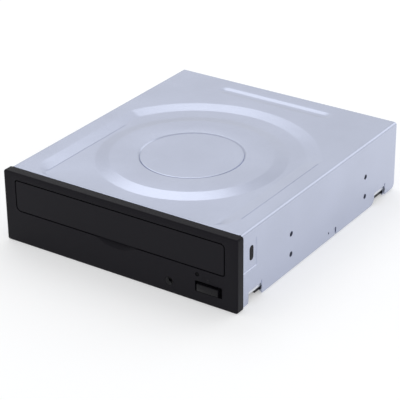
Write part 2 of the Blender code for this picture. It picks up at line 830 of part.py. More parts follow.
def make_disc_tray():
    well_radius = disc_radius + disc_clearance
    centre = (0, disc_centre)
    over = tray_top + cut_through
    under = tray_low - cut_through
    tray = block("disc_tray", (-tray_half, tray_half), (tray_front, tray_rear),
                 (tray_low, tray_top), "Z", 0.0015, 3)
    join(tray, block("rail_tongues", (-tongue_half, tongue_half), (0.010, tray_rear - 0.001),
                     (tongue_low, tongue_high)))
    cut(tray,
        rod("well", centre, (disc_well, over), well_radius, segments=FINE_ROUND),
        rod("small_well", centre, (small_well, over), small_disc_radius + disc_clearance,
            segments=FINE_ROUND),
        plate("window", [slot(centre, (0, disc_centre + window_reach - window_half),
                              window_half, 12)], (under, over)))
    for x_side in both_sides:
        for y_side in both_sides:
            reach = well_radius * math.sqrt(0.5)
            spot = (x_side * reach, disc_centre + y_side * reach)
            cut(tray, rod(f"scallop_{x_side}_{y_side}", spot, (disc_well - 0.0004, over),
                          scallop_radius))
            near = disc_centre + y_side * (well_radius - 0.013)
            far = tray_front + 0.0022 if y_side < 0 else tray_rear - 0.002
            pocket = block(f"corner_pocket_{x_side}_{y_side}",
                           sorted((x_side * 0.037, x_side * (tray_half - 0.002))),
                           sorted((near, far)), (under, tray_top - pocket_roof))
            cut(pocket,
                rod(f"well_wall_{x_side}_{y_side}", centre, (under - 0.001, over),
                    well_radius + pocket_roof, segments=FINE_ROUND),
                rod(f"scallop_wall_{x_side}_{y_side}", spot, (under - 0.002, over),
                    scallop_radius + pocket_roof))
            cut(tray, pocket)
    cut(tray, block("tail_pocket", (-0.024, 0.024),
                    (disc_centre + well_radius + 0.003, tray_rear - 0.002),
                    (under, tray_top - pocket_roof)))
    embed = tray_low + 0.0004
    rack = rack_outline(gear_line - 0.008, tray_rear - 0.002, rack_pitch_x + 0.0045)
    join(tray, plate("rack", [rack], (rack_low, embed)))
    channel = cam_pin_radius + track_play
    leg_y = slider_front + slider_thickness / 2
    left = follower_x - channel
    right = follower_x + channel
    end = follower_x + cam_travel + channel + track_wall
    join(tray,
         block("track_outer", (left - track_wall, left), (leg_y - channel - track_wall, tray_rear - 0.002),
               (track_low, embed)),
         block("track_inner", (right, right + track_wall), (leg_y + channel, tray_rear - 0.002),
               (track_low, embed)),
         block("track_cross_front", (left - track_wall / 2, end),
               (leg_y - channel - track_wall, leg_y - channel), (track_low, embed)),
         block("track_cross_rear", (right + track_wall / 2, end),
               (leg_y + channel, leg_y + channel + track_wall), (track_low, embed)))
    return finish(tray, "black_frame")


# Door on the tray's front, closing the bezel's opening

def make_tray_door():
    back = tray_front - gap
    outline = rounded((-door_half, door_half), (door_low, door_high),
                      (0.0025, 0.0010, 0.0018, 0.0010))
    door = plate("tray_door", [outline], (-bezel_depth, back), "Y")
    wall = 0.0018
    cut(door,
        block("door_inside_left", (-door_half + wall, -0.001),
              (-bezel_depth + bezel_wall, back + cut_through),
              (door_low + wall, door_high - wall)),
        block("door_inside_right", (0.001, door_half - wall),
              (-bezel_depth + bezel_wall, back + cut_through),
              (door_low + wall, door_high - wall)))
    return finish(door, "black_case")


# Front bezel: moulded face with a rim, door duct, button window and side clips

duct_wall = 0.0015
scoop_half = 0.0133
scoop_low = door_low - 0.0042
scoop_depth = 0.0024
release_x = lamp_x - 0.0173
release_z = 0.00675
release_radius = 0.0008
funnel_radius = 0.00275
button_play = 0.0008
button_flange = 0.0012
clip_arm = (flange_inside - 0.0016, flange_inside + 0.0001)


def make_front_bezel():
    front = -bezel_depth
    inside = front + bezel_wall
    bezel = block("front_bezel", (-bezel_half, bezel_half), (front, 0), (0, body_height),
                  "Y", 0.0012, 3)
    shape = bmesh.new()
    shape.from_mesh(bezel.data)
    rim = [e for e in shape.edges if all(v.co.y < front + 1e-6 for v in e.verts)]
    bmesh.ops.bevel(shape, geom=rim, offset=0.0007, segments=2, profile=0.5, affect="EDGES")
    shape.to_mesh(bezel.data)
    shape.free()
    duct_half = door_half + door_gap
    duct_low = door_low - door_gap
    duct_high = door_high + door_gap
    hollow = block("bezel_hollow", (-bezel_half + bezel_rim, bezel_half - bezel_rim),
                   (inside, cut_through), (bezel_rim, body_height - bezel_rim))
    cut(hollow, block("duct_keep", (-duct_half - duct_wall, duct_half + duct_wall),
                      (inside - 0.001, cut_through + 0.001),
                      (duct_low - duct_wall, body_height)))
    duct = plate("door_opening", [rounded((-duct_half, duct_half), (duct_low, duct_high),
                                          (0.0031, 0.0016, 0.0024, 0.0016))],
                 (front - cut_through, cut_through), "Y")
    rise = duct_low - scoop_low
    arch = (scoop_half ** 2 + rise ** 2) / (2 * rise)
    scoop = rod("finger_scoop", (0, scoop_low + arch), (front - 0.001, front + scoop_depth),
                arch + rise / scoop_depth * 0.001, "Y", end_radius=arch - rise, segments=96)
    cut(scoop, block("scoop_limit", (-arch * 2, arch * 2), (front - 0.002, cut_through),
                     (duct_low + 0.001, arch * 4)))
    cut(bezel, hollow, duct, scoop,
        block("button_window", (button_left - 0.0015, button_right + 0.0019),
              (front - cut_through, cut_through),
              (button_low - button_play, button_high + 0.0011)),
        rod("lamp_hole", (lamp_x, lamp_z), (front - cut_through, cut_through), 0.00115, "Y",
            segments=SMALL_ROUND),
        loft("release_funnel", [[(x, y, z) for x, z in circle((release_x, release_z), radius)]
                                for radius, y in ((funnel_radius + 0.0005, front - 0.0005),
                                                  (release_radius, front + 0.0015),
                                                  (release_radius, 0))]))
    for side in both_sides:
        name = "left" if side < 0 else "right"
        arm = sorted(side * x for x in clip_arm)
        nib = sorted((side * (clip_arm[1] - 0.0002), side * (body_half - gap)))
        join(bezel, block(f"clip_arm_{name}", arm, (inside - 0.0005, clip_slot_y + 0.0040),
                          (clip_slot_low - 0.001, clip_slot_high + 0.001)))
        join(bezel, block(f"clip_nib_{name}", nib,
                          (clip_slot_y - clip_slot_radius + gap, clip_slot_y + clip_slot_radius - gap),
                          (clip_slot_low + gap, clip_slot_high - gap), "X", 0.0012, 3))
    return finish(bezel, "black_case")


# Eject button and the lamp's light guide

def make_eject_button():
    front = -bezel_depth - button_proud
    flange_at = -bezel_depth + bezel_wall + gap
    button = block("eject_button", (button_left, button_right),
                   (front, flange_at + button_flange / 2), (button_low, button_high))
    shape = bmesh.new()
    shape.from_mesh(button.data)
    rim = [e for e in shape.edges if all(v.co.y < front + 1e-6 for v in e.verts)]
    bmesh.ops.bevel(shape, geom=rim, offset=0.0004, segments=2, profile=0.5, affect="EDGES")
    shape.to_mesh(button.data)
    shape.free()
    middle_x = (button_left + button_right) / 2
    middle_z = (button_low + button_high) / 2
    join(button,
         block("button_flange", (button_left - 0.0030, button_right + 0.0030),
               (flange_at, flange_at + button_flange), (button_low - 0.0018, button_high + 0.0020)),
         block("button_stem", (middle_x - 0.0015, middle_x + 0.0015),
               (flange_at + button_flange / 2, switch_tip - button_travel - gap),
               (middle_z - 0.001, middle_z + 0.001)))
    return finish(button, "black_case")


switch_board_front = 0.0080
switch_board_thickness = 0.0012
switch_tip = 0.0039


def make_light_guide():
    front = -bezel_depth
    guide = rod("lamp_guide", (lamp_x, lamp_z), (front + 0.0002, switch_board_front - 0.0032),
                0.00085, "Y", segments=SMALL_ROUND)
    join(guide, rod("lamp_guide_flange", (lamp_x, lamp_z),
                    (front + bezel_wall + gap, front + bezel_wall + gap + 0.0010), 0.0016, "Y",
                    segments=SMALL_ROUND))
    return finish(guide, "smoked_clear")


def make_switch_board():
    rear = switch_board_front + switch_board_thickness
    board = block("switch_board", (switch_bay[0] + gap, switch_bay[1] - gap),
                  (switch_board_front, rear), (loader_low + gap, deck_top + 0.0036))
    finish(board, "board_green")
    middle_x = (button_left + button_right) / 2
    middle_z = (button_low + button_high) / 2
    body_front = switch_tip + 0.0008
    switch = block("eject_switch", (middle_x - 0.003, middle_x + 0.003),
                   (body_front, switch_board_front - gap), (middle_z - 0.003, middle_z + 0.003))
    join(switch, rod("switch_plunger", (middle_x, middle_z), (switch_tip, body_front + 0.0005),
                     0.0017, "Y", segments=SMALL_ROUND))
    finish(switch, "chip_black")
    lamp = rod("status_lamp", (lamp_x, lamp_z),
               (switch_board_front - 0.0029, switch_board_front - gap), 0.0015, "Y",
               segments=SMALL_ROUND)
    finish(lamp, "smoked_clear")
    return board, switch, lamp


# Loading motor, belt and gear train

def make_loading_motor():
    low = sheet + motor_room
    high = low + motor_height
    neck = 0.0028
    profile = [(0, deck_top + 0.0024), (0.0007, deck_top + 0.0024), (0.0007, deck_top - gap),
               (neck, deck_top - gap), (neck, high), (motor_radius - 0.0008, high),
               (motor_radius, high - 0.0008), (motor_radius, low), (0, low)]
    return finish(turned("loading_motor", profile, (motor_x, gear_line)), "bright_steel")


groove_low = pulley_low + 0.0003
groove_high = pulley_high - 0.0003
belt_low = (groove_low + groove_high - belt_height) / 2


def pulley_profile(pitch_radius, bore):
    """A grooved pulley's half section, clockwise from the top of its bore."""
    floor = pitch_radius - belt_thickness / 2 - gap
    lip = pitch_radius + belt_thickness / 2
    return [(bore, pulley_high), (lip, pulley_high), (lip, groove_high), (floor, groove_high),
            (floor, groove_low), (lip, groove_low), (lip, pulley_low), (bore, pulley_low)]


def belt_outline(offset):
    """An open belt's line round both pulleys, moved outwards by an offset."""
    distance = pulley_x - motor_x
    lean = math.degrees(math.acos((pulley_radius - motor_pulley_radius) / distance))
    big = arc((pulley_x, gear_line), pulley_radius + offset, lean - 180, 180 - lean, 20)
    small = arc((motor_x, gear_line), motor_pulley_radius + offset, 180 - lean, 180 + lean, 10)
    return big + small


def make_gear_train():
    bore = axle_radius + axle_play
    pulley = turned("pulley_gear", pulley_profile(pulley_radius, bore), (pulley_x, gear_line))
    half_pitch = math.pi / pulley_teeth
    small = gear_outline(pulley_teeth, train_module, half_pitch)
    join(pulley, plate("pulley_pinion", [moved(small, pulley_x, gear_line),
                                         circle((pulley_x, gear_line), bore, ROUND)],
                       (pulley_high - 0.0002, wheel_high)))
    finish(pulley, "white_gear")
    wheel_teeth_outline = moved(gear_outline(wheel_teeth, train_module), wheel_x, gear_line)
    pinion = moved(gear_outline(pinion_teeth, rack_module), wheel_x, gear_line)
    hole = circle((wheel_x, gear_line), bore, ROUND)
    wheel = plate("drive_gear", [wheel_teeth_outline, hole], (wheel_low, wheel_high))
    join(wheel, plate("drive_pinion", [pinion, hole], (wheel_high - 0.0003, tray_low - slide_gap)))
    finish(wheel, "white_gear")
    motor_pulley = turned("motor_pulley", pulley_profile(motor_pulley_radius, 0.0007 + gap),
                          (motor_x, gear_line))
    finish(motor_pulley, "white_gear")
    half = belt_thickness / 2
    belt = plate("drive_belt", [belt_outline(half), belt_outline(-half)],
                 (belt_low, belt_low + belt_height))
    finish(belt, "rubber")
    return pulley, wheel, motor_pulley, belt


# Cam slider with two slanted slots and the peg that follows the tray's track

slider_low = 0.0013
slider_high = 0.0170
slot_rest = 0.0030


def cam_heights():
    """Pin heights with the lift frame down and up, at the slider."""
    reach = pivot_y - (slider_front + slider_thickness / 2)
    rise = cam_pin_z - pivot_z
    low = pivot_z + rise * math.cos(tilt) - reach * math.sin(tilt)
    return low, cam_pin_z


def make_cam_slider():
    low, high = cam_heights()
    left = -cam_pin_x - cam_travel - slot_rest - 0.008
    right = cam_pin_x + slot_rest + 0.008
    rear = slider_front + slider_thickness
    slider = block("cam_slider", (left, right), (slider_front, rear), (slider_low, slider_high))
    join(slider,
         block("slider_lip", (left, right - 0.016), (bay_rear - 0.0006, rear),
               (slider_high - 0.0001 + gap, slider_high + 0.0012)),
         block("peg_arm", (follower_x - 0.002, follower_x + 0.002), (slider_front, rear),
               (slider_high - 0.001, slider_high + 0.0024)),
         rod("track_peg", (follower_x, (slider_front + rear) / 2),
             (slider_high + 0.0010, tray_low - 0.0005), cam_pin_radius, segments=SMALL_ROUND))
    width = cam_pin_radius + cam_play
    for name, x in (("left", -cam_pin_x), ("right", cam_pin_x)):
        path = [(x + slot_rest, low), (x, low), (x - cam_travel, high),
                (x - cam_travel - slot_rest, high)]
        pieces = [plate(f"cam_slot_{name}_{i}", [slot(a, b, width)],
                        (slider_front - cut_through, rear + cut_through), "Y")
                  for i, (a, b) in enumerate(zip(path, path[1:]))]
        cut(slider, *pieces)
    return finish(slider, "grey_slider")


# Lift frame and traverse chassis, modelled level and tilted down by their empty

def make_lift_frame():
    rear = pivot_y + 0.0035
    frame = block("lift_frame", (-lift_half, lift_half), (lift_front, rear),
                  (lift_low, lift_high), "Z", 0.0015, 2)
    cut(frame, block("lift_inside", (-lift_half + lift_beam, lift_half - lift_beam),
                     (lift_front + lift_beam, pivot_y - 0.0024),
                     (lift_low - cut_through, lift_high + cut_through)))
    for side in both_sides:
        name = "left" if side < 0 else "right"
        join(frame,
             rod(f"trunnion_{name}", (pivot_y, pivot_z),
                 sorted((side * (lift_half - 0.001), side * (side_pocket[0] - gap))),
                 trunnion_radius, "X", segments=SMALL_ROUND),
             rod(f"cam_pin_{name}", (side * cam_pin_x, cam_pin_z),
                 (slider_front - 0.0001, lift_front + 0.001), cam_pin_radius, "Y", segments=SMALL_ROUND))
        for number, spot in enumerate(damper_spots(side)):
            cut(frame, rod(f"damper_bore_{name}_{number}", spot, (lift_low + 0.001, lift_high + cut_through),
                           damper_screw_radius + gap, segments=SMALL_ROUND))
    return finish(frame, "black_frame")


damper_rows = (chassis_front + 0.006, chassis_rear - 0.007)
damper_bore = 0.0014
damper_neck = 0.0023
damper_flange = 0.0035
damper_screw_radius = 0.0010
damper_x = chassis_half + damper_flange + gap


def damper_spots(side):
    return [(side * damper_x, y) for y in damper_rows]


def make_dampers():
    pieces = []
    low = lift_high + gap
    lug_low = chassis_top - chassis_sheet
    names = iter(("front_left", "rear_left", "front_right", "rear_right"))
    for side in both_sides:
        for spot in damper_spots(side):
            label = next(names)
            top = chassis_top + gap + 0.0009
            profile = [(damper_bore, top), (damper_flange, top), (damper_flange, chassis_top + gap),
                       (damper_neck, chassis_top + gap), (damper_neck, lug_low - gap),
                       (damper_flange, lug_low - gap), (damper_flange, low), (damper_bore, low)]
            damper = turned(f"damper_{label}", profile, spot, SMALL_ROUND)
            pieces.append(finish(damper, "rubber"))
            head = top + gap
            profile = [(0, head + 0.0008), (0.0026, head + 0.0008), (0.0026, head),
                       (damper_screw_radius, head), (damper_screw_radius, lift_low + 0.0014),
                       (0, lift_low + 0.0014)]
            screw = turned(f"damper_screw_{label}", profile, spot, SMALL_ROUND)
            pieces.append(finish(screw, "bright_steel"))
    return pieces


spindle_base_high = chassis_top - chassis_sheet - gap
spindle_base_low = spindle_base_high - 0.0009
sleeve_radius = 0.0034
holder_length = 0.0030


def make_traverse_chassis():
    low = chassis_low
    roof = chassis_top - chassis_sheet
    chassis = block("traverse_chassis", (-chassis_half, chassis_half),
                    (chassis_front, chassis_rear), (low, chassis_top), "Z", 0.002, 2)
    inside = chassis_half - chassis_sheet
    cut(chassis, block("chassis_inside", (-inside, inside),
                       (chassis_front + chassis_sheet, chassis_rear - chassis_sheet),
                       (low - cut_through, roof)))
    for side in both_sides:
        name = "left" if side < 0 else "right"
        for number, (x, y) in enumerate(damper_spots(side)):
            lug = sorted((side * (inside - 0.001), side * (damper_x + lug_half)))
            join(chassis, block(f"lug_{name}_{number}", lug, (y - lug_half, y + lug_half),
                                (roof, chassis_top)))
            cut(chassis, rod(f"lug_hole_{name}_{number}", (x, y), (roof - 0.0005, chassis_top + 0.001),
                             damper_neck + gap, segments=SMALL_ROUND))
        for number, y in enumerate((sled_front - 0.0052, chassis_rear - chassis_sheet - holder_length)):
            join(chassis, block(f"rod_holder_{name}_{number}",
                                sorted((side * (rod_x - 0.0032), side * (rod_x + 0.0032))),
                                (y, y + holder_length), (low, roof + 0.0005)))
        cut(chassis, rod(f"rod_bore_{name}", (side * rod_x, rod_z), rod_span_clear(),
                         rod_radius + rod_play, "Y", segments=SMALL_ROUND))
    join(chassis, block("screw_bearing", (screw_x - 0.003, screw_x + 0.003),
                        (sled_front - 0.0052, sled_front - 0.0022), (screw_z - 0.003, roof + 0.0005)))
    window = [rounded((-sled_half - 0.010, sled_half + 0.010),
                      (sled_front - 0.0015, chassis_rear - chassis_sheet - holder_length - 0.001),
                      (0.002, 0.002, 0.002, 0.002), 3)]
    cut(chassis,
        rod("screw_bearing_bore", (screw_x, screw_z), (sled_front - 0.0045, sled_front),
            0.0015 + gap, "Y", segments=SMALL_ROUND),
        plate("sled_window", window, (roof - 0.0005, chassis_top + 0.001)),
        rod("rotor_hole", (0, disc_centre), (roof - 0.0005, chassis_top + 0.001),
            rotor_radius + 0.0015, segments=MEDIUM_ROUND))
    return finish(chassis, "diecast")


def rod_span():
    return sled_front - 0.0045, chassis_rear - chassis_sheet - 0.0007


def rod_span_clear():
    start, end = rod_span()
    return start - 0.0003, end + 0.0003


def make_guide_rods():
    rods = []
    for side, name in ((-1, "guide_rod_left"), (1, "guide_rod_right")):
        guide = rod(name, (side * rod_x, rod_z), rod_span(), rod_radius, "Y", segments=SMALL_ROUND)
        rods.append(finish(guide, "bright_steel"))
    return rods


def make_spindle():
    """Base with bearing sleeve and stator stay still; rotor, turntable and mat turn."""
    centre = (0, disc_centre)
    base = block("spindle_base", (-0.018, 0.018), (disc_centre - 0.0165, disc_centre + 0.0080),
                 (spindle_base_low, spindle_base_high), "Z", 0.002, 2)
    join(base, rod("bearing_sleeve", centre, (spindle_base_low, disc_seat - 0.0038),
                   sleeve_radius))
    cut(base, rod("sleeve_bore", centre, (spindle_base_low + 0.0004, disc_seat),
                  0.0018, segments=ROUND))
    finish(base, "dark_steel")

    outline = []
    poles = 9
    for pole in range(poles):
        middle = math.tau * pole / poles
        for radius, half in ((0.0052, 0.20), (0.0096, 0.11), (0.0097, 0.28), (0.0112, 0.28),
                             (0.0112, -0.28), (0.0097, -0.28), (0.0096, -0.11), (0.0052, -0.20)):
            outline.append((radius * math.cos(middle - half),
                            disc_centre + radius * math.sin(middle - half)))
    stator = plate("spindle_stator", [outline, circle(centre, sleeve_radius + gap, 24)],
                   (spindle_base_high + gap, disc_seat - 0.0052))
    finish(stator, "copper")

    can_low = chassis_top - chassis_sheet + 0.0004
    can_top = disc_seat - 0.0026
    wall = 0.0008
    shaft = 0.0015
    rotor = turned("rotor_cup", [(0, can_top), (rotor_radius, can_top), (rotor_radius, can_low),
                                 (rotor_radius - wall, can_low),
                                 (rotor_radius - wall, can_top - wall), (shaft, can_top - wall),
                                 (shaft, can_low), (0, can_low)], centre, MEDIUM_ROUND)
    finish(rotor, "bright_steel")

    seat_low = can_top + gap
    rim = seat_low + 0.0014
    table_profile = [(0, disc_seat + 0.0023), (0.0040, disc_seat + 0.0023),
                     (0.00735, disc_seat + 0.0004), (0.00735, rim + 0.0002), (0.0088, rim + 0.0002),
                     (0.0088, rim - 0.0004), (0.0150, rim - 0.0004), (0.0150, seat_low),
                     (0, seat_low)]
    table = turned("turntable", table_profile, centre, MEDIUM_ROUND)
    finish(table, "black_frame")
    mat_low = rim - 0.0004 + gap
    mat = turned("turntable_mat", [(0.0092, disc_seat), (0.0147, disc_seat), (0.0147, mat_low),
                                   (0.0092, mat_low)], centre, MEDIUM_ROUND)
    finish(mat, "rubber")
    return base, stator, rotor, table, mat


# Pickup sled with its lens, and the screw that drives it

def make_pickup():
    rear = sled_front + sled_length
    low = 0.0110
    deck = 0.0192
    coil_well_floor = 0.0166
    sled = block("pickup_sled", (-sled_half, sled_half), (sled_front, rear), (low, deck),
                 "Z", 0.002, 2)
    bearing = rod_radius + 0.0024
    for number, y in enumerate((sled_front + 0.0005, rear - 0.0065)):
        join(sled, block(f"sled_bearing_{number}", (sled_half - 0.001, rod_x + bearing),
                         (y, y + 0.006), (rod_z - bearing + 0.0008, rod_z + bearing - 0.001)))
    join(sled, block("sled_fork", (-rod_x - 0.0030, -sled_half + 0.001),
                     (sled_front + 0.003, sled_front + 0.011), (rod_z - 0.0030, rod_z + 0.0028)))
    clear = rod_radius + rod_play
    cut(sled,
        rod("bearing_bore", (rod_x, rod_z), (sled_front - 0.001, rear + 0.001), clear, "Y",
            segments=SMALL_ROUND),
        plate("fork_slot", [slot((-rod_x, rod_z), (-rod_x - 0.006, rod_z), clear)],
              (sled_front, rear), "Y"),
        rod("spindle_room", (0, disc_centre), (low - 0.001, deck + 0.001), rotor_radius + 0.0016,
            segments=MEDIUM_ROUND),
        block("laser_pocket", (-0.0120, 0.0120), (rear - 0.007, rear + 0.001), (low + 0.002, 0.0172)),
        block("coil_well", (-0.0105, 0.0105), (lens_y - 0.0065, lens_y + 0.0075),
              (coil_well_floor, deck + 0.001)))
    finish(sled, "diecast")

    holder_top = tray_low - gap
    holder = block("lens_holder", (-0.0095, 0.0095), (lens_y - 0.0062, lens_y + 0.0070),
                   (coil_well_floor + gap, holder_top), "Z", 0.001, 2)
    join(holder, rod("lens_ring", (0, lens_y), (holder_top - 0.001, disc_seat - 0.0022), 0.0031))
    cut(holder, rod("lens_bore", (0, lens_y), (disc_seat - 0.0034, disc_seat), 0.0026),
        block("coil_gap_left", (-0.0080, -0.0050), (lens_y - 0.0040, lens_y + 0.0048),
              (0.0190, disc_seat)),
        block("coil_gap_right", (0.0050, 0.0080), (lens_y - 0.0040, lens_y + 0.0048),
              (0.0190, disc_seat)))
    finish(holder, "black_frame")

    seat = disc_seat - 0.0034 + gap
    lens = turned("objective_lens", [(0, disc_seat - 0.0016), (0.0010, disc_seat - 0.00168),
                                     (0.0019, disc_seat - 0.0020), (0.0023, disc_seat - 0.0024),
                                     (0.0023, seat), (0, seat)], (0, lens_y))
    finish(lens, "lens_glass")

    nut = block("screw_follower", (screw_x - 0.0026, -rod_x - 0.0030 - gap),
                (sled_front + 0.004, sled_front + 0.010), (screw_z - 0.0026, screw_z + 0.0036))
    cut(nut, rod("follower_bore", (screw_x, screw_z), (sled_front, sled_front + sled_length),
                 0.0015 + gap, "Y", segments=SMALL_ROUND))
    finish(nut, "white_gear")
    return sled, holder, lens, nut


def make_sled_drive():
    motor_rear = sled_motor_front + 0.0140
    motor = rod("sled_motor", (screw_x, screw_z), (sled_motor_front, motor_rear),
                sled_motor_radius, "Y")
    join(motor, block("sled_motor_flange", (screw_x - 0.0048, screw_x + 0.0062),
                      (sled_motor_front, sled_motor_front + 0.0010),
                      (screw_z - 0.0048, chassis_top - chassis_sheet - gap)))
    finish(motor, "bright_steel")
    screw = rod("lead_screw", (screw_x, screw_z), (sled_front - 0.0040, sled_motor_front - gap),
                0.0015, "Y", segments=SMALL_ROUND)
    finish(screw, "bright_steel")
    return motor, screw


# Clamp above the disc

bridge_low = loader_top + gap
bridge_sheet = 0.0012
bridge_half_width = 0.0095
clamp_pad = 0.0140
clamp_hole = clamp_pad + 0.0010
clamp_flange = clamp_hole + 0.0025


def make_clamp():
    centre = (0, disc_centre)
    high = bridge_low + bridge_sheet
    front = disc_centre - bridge_half_width
    rear = disc_centre + bridge_half_width
    half = loader_half - 0.0011
    bridge = block("clamp_bridge", (-half, half), (front, rear), (bridge_low, high))
    join(bridge, rod("bridge_ring", centre, (bridge_low, high), clamp_flange + 0.0032, segments=MEDIUM_ROUND))
    for name, y in (("front", front), ("rear", rear - bridge_sheet)):
        for side in both_sides:
            join(bridge, block(f"bridge_edge_{name}_{side}",
                               sorted((side * (clamp_flange + 0.0020), side * (half - 0.008))),
                               (y, y + bridge_sheet), (bridge_low, high + 0.0030)))
    cut(bridge, rod("clamp_opening", centre, (bridge_low - 0.001, high + 0.001), clamp_hole,
                    segments=MEDIUM_ROUND))
    screws = []
    for side, name in ((-1, "bridge_screw_left"), (1, "bridge_screw_right")):
        x = side * bridge_screw_x
        cut(bridge, rod(name + "_hole", (x, disc_centre), (bridge_low - 0.001, high + 0.001),
                        bridge_screw_radius + gap, segments=SMALL_ROUND))
        tip = loader_top - bridge_screw_length
        profile = [(0, high + gap + 0.0010), (0.0022, high + gap + 0.0010), (0.0022, high + gap),
                   (bridge_screw_radius, high + gap), (bridge_screw_radius, tip), (0, tip)]
        screws.append(finish(turned(name, profile, (x, disc_centre), SMALL_ROUND), "bright_steel"))
    finish(bridge, "zinc_steel")

    pad_low = tray_top + slide_gap
    flange_low = high + gap
    flange_high = flange_low + 0.0012
    profile = [(0, flange_high), (clamp_flange, flange_high), (clamp_flange, flange_low),
               (clamp_pad, flange_low), (clamp_pad, pad_low), (0.0082, pad_low),
               (0.0050, pad_low + 0.0020), (0, pad_low + 0.0020)]
    clamper = finish(turned("clamper", profile, centre, MEDIUM_ROUND), "black_frame")
    yoke_low = flange_high + gap
    yoke = turned("clamp_yoke", [(0, yoke_low + 0.0010), (0.0110, yoke_low + 0.0010),
                                 (0.0110, yoke_low), (0, yoke_low)], centre, MEDIUM_ROUND)
    return bridge, clamper, finish(yoke, "bright_steel"), screws


# Circuit board, chips, connector and cover screws

def make_electronics():
    rear = body_depth - 0.0021
    outline = rounded((-board_half, board_half), (board_front, rear),
                      (0.001, 0.001, 0.001, 0.001), 2)
    board = finish(plate("main_board", [outline], (board_low, board_top)), "board_green")
    seat = board_top + gap
    chips = []
    for name, x, y, width, depth, height in (
            ("controller_chip", 0.0020, 0.1180, 0.0200, 0.0200, 0.0012),
            ("motor_driver_chip", 0.0260, 0.1300, 0.0100, 0.0140, 0.0012),
            ("memory_chip", -0.0180, 0.1120, 0.0060, 0.0120, 0.0010)):
        chips.append(finish(block(name, (x - width / 2, x + width / 2),
                                  (y - depth / 2, y + depth / 2), (seat, seat + height)),
                            "chip_black"))
    left, right = connector_x
    shell = block("sata_connector", (left, right), (connector_front, body_depth - 0.0003),
                  (seat, connector_high))
    middle = (seat + connector_high) / 2
    for name, x in (("data", (left + 0.0015, left + 0.0125)),
                    ("power", (left + 0.0145, right - 0.0015))):
        cut(shell, block(f"{name}_socket", x, (connector_front + 0.0030, body_depth + 0.001),
                         (middle - 0.0022, middle + 0.0022)))
        join(shell, block(f"{name}_tongue", (x[0] + 0.0010, x[1] - 0.0010),
                          (connector_front + 0.0025, body_depth - 0.0015),
                          (middle - 0.0006, middle + 0.0006)))
    return board, chips, finish(shell, "chip_black")


def make_cover_screws():
    for side, side_name in ((-1, "left"), (1, "right")):
        for row_name, y in zip(("front", "rear"), cover_screw_rows):
            head_top = screw_dimple_depth - gap
            head_low = head_top - screw_head_height
            profile = [(0, screw_tip), (screw_radius, screw_tip), (screw_radius, head_top),
                       (screw_head_radius, head_top), (screw_head_radius, head_low),
                       (0, head_low)]
            screw = turned(f"cover_screw_{row_name}_{side_name}", profile,
                           (side * cover_screw_x, y), SMALL_ROUND)
            finish(screw, "bright_steel")


# The assembly, body by body

make_top_cover()
make_bottom_cover()
make_front_bezel()
make_light_guide()
make_loader_frame()
make_loading_motor()
make_switch_board()
make_electronics()
make_cover_screws()
pulley_gear, drive_gear, motor_pulley, drive_belt = make_gear_train()
clamp_bridge, clamper, clamp_yoke, bridge_screws = make_clamp()

tray_slide = child_empty("tray_slide_axis", (0, tray_front, tray_low))
ride_on(tray_slide, make_disc_tray(), make_tray_door())
ride_on(child_empty("button_axis", (button_left, -bezel_depth, button_low)), make_eject_button())
ride_on(child_empty("cam_axis", (0, slider_front, slider_low)), make_cam_slider())
ride_on(child_empty("pulley_axis", (pulley_x, gear_line, pulley_low)), pulley_gear)
ride_on(child_empty("wheel_axis", (wheel_x, gear_line, wheel_low)), drive_gear)
ride_on(child_empty("motor_axis", (motor_x, gear_line, pulley_low)), motor_pulley)
ride_on(child_empty("clamp_axis", (0, disc_centre, bridge_low)), clamper, clamp_yoke)

lift_pivot = child_empty("lift_pivot", (0, pivot_y, pivot_z), turn_x=tilt)
spindle_axis = child_empty("spindle_axis", (0, disc_centre, disc_seat), lift_pivot)
sled_axis = child_empty("sled_axis", (rod_x, sled_front, rod_z), lift_pivot)
screw_axis = child_empty("screw_axis", (screw_x, sled_front, screw_z), lift_pivot)
spindle_base, spindle_stator, rotor_cup, turntable, turntable_mat = make_spindle()
sled_motor, lead_screw = make_sled_drive()
ride_on(lift_pivot, make_lift_frame(), make_traverse_chassis(), spindle_base, spindle_stator,
        sled_motor, *make_dampers(), *make_guide_rods())
ride_on(spindle_axis, rotor_cup, turntable, turntable_mat)
ride_on(sled_axis, *make_pickup())
ride_on(screw_axis, lead_screw)
bpy.context.view_layer.update()
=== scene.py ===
# %% [markdown]
# A half-height disc writer for a computer's drive bay, dressed for its portrait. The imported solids
# come in first and stay where they are: every shape below either replaces one of them or sits on
# it. Everything is in metres, +Z is up, and lengths along the drive are given as on a workshop
# drawing, backwards from the rear face of the plastic front.

# %% Frame and overall size
import json
import math

import bmesh
import bpy
from mathutils import Matrix, Vector


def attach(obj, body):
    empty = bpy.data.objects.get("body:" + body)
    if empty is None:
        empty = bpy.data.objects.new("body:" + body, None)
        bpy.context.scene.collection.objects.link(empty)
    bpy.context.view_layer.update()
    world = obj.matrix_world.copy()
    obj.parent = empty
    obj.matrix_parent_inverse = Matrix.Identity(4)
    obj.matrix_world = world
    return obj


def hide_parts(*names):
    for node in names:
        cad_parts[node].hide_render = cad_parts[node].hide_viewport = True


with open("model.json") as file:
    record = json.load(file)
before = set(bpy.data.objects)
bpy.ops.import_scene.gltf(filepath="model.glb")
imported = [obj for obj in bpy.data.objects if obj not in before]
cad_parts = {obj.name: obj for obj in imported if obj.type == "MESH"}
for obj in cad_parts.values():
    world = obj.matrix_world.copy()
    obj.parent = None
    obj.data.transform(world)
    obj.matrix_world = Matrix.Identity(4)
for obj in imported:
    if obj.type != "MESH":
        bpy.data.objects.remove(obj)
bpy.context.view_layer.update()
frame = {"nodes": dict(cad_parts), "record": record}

drive_shift = -0.0774


def at(length):
    """World Y of a length behind the bezel's rear face."""
    return length + drive_shift


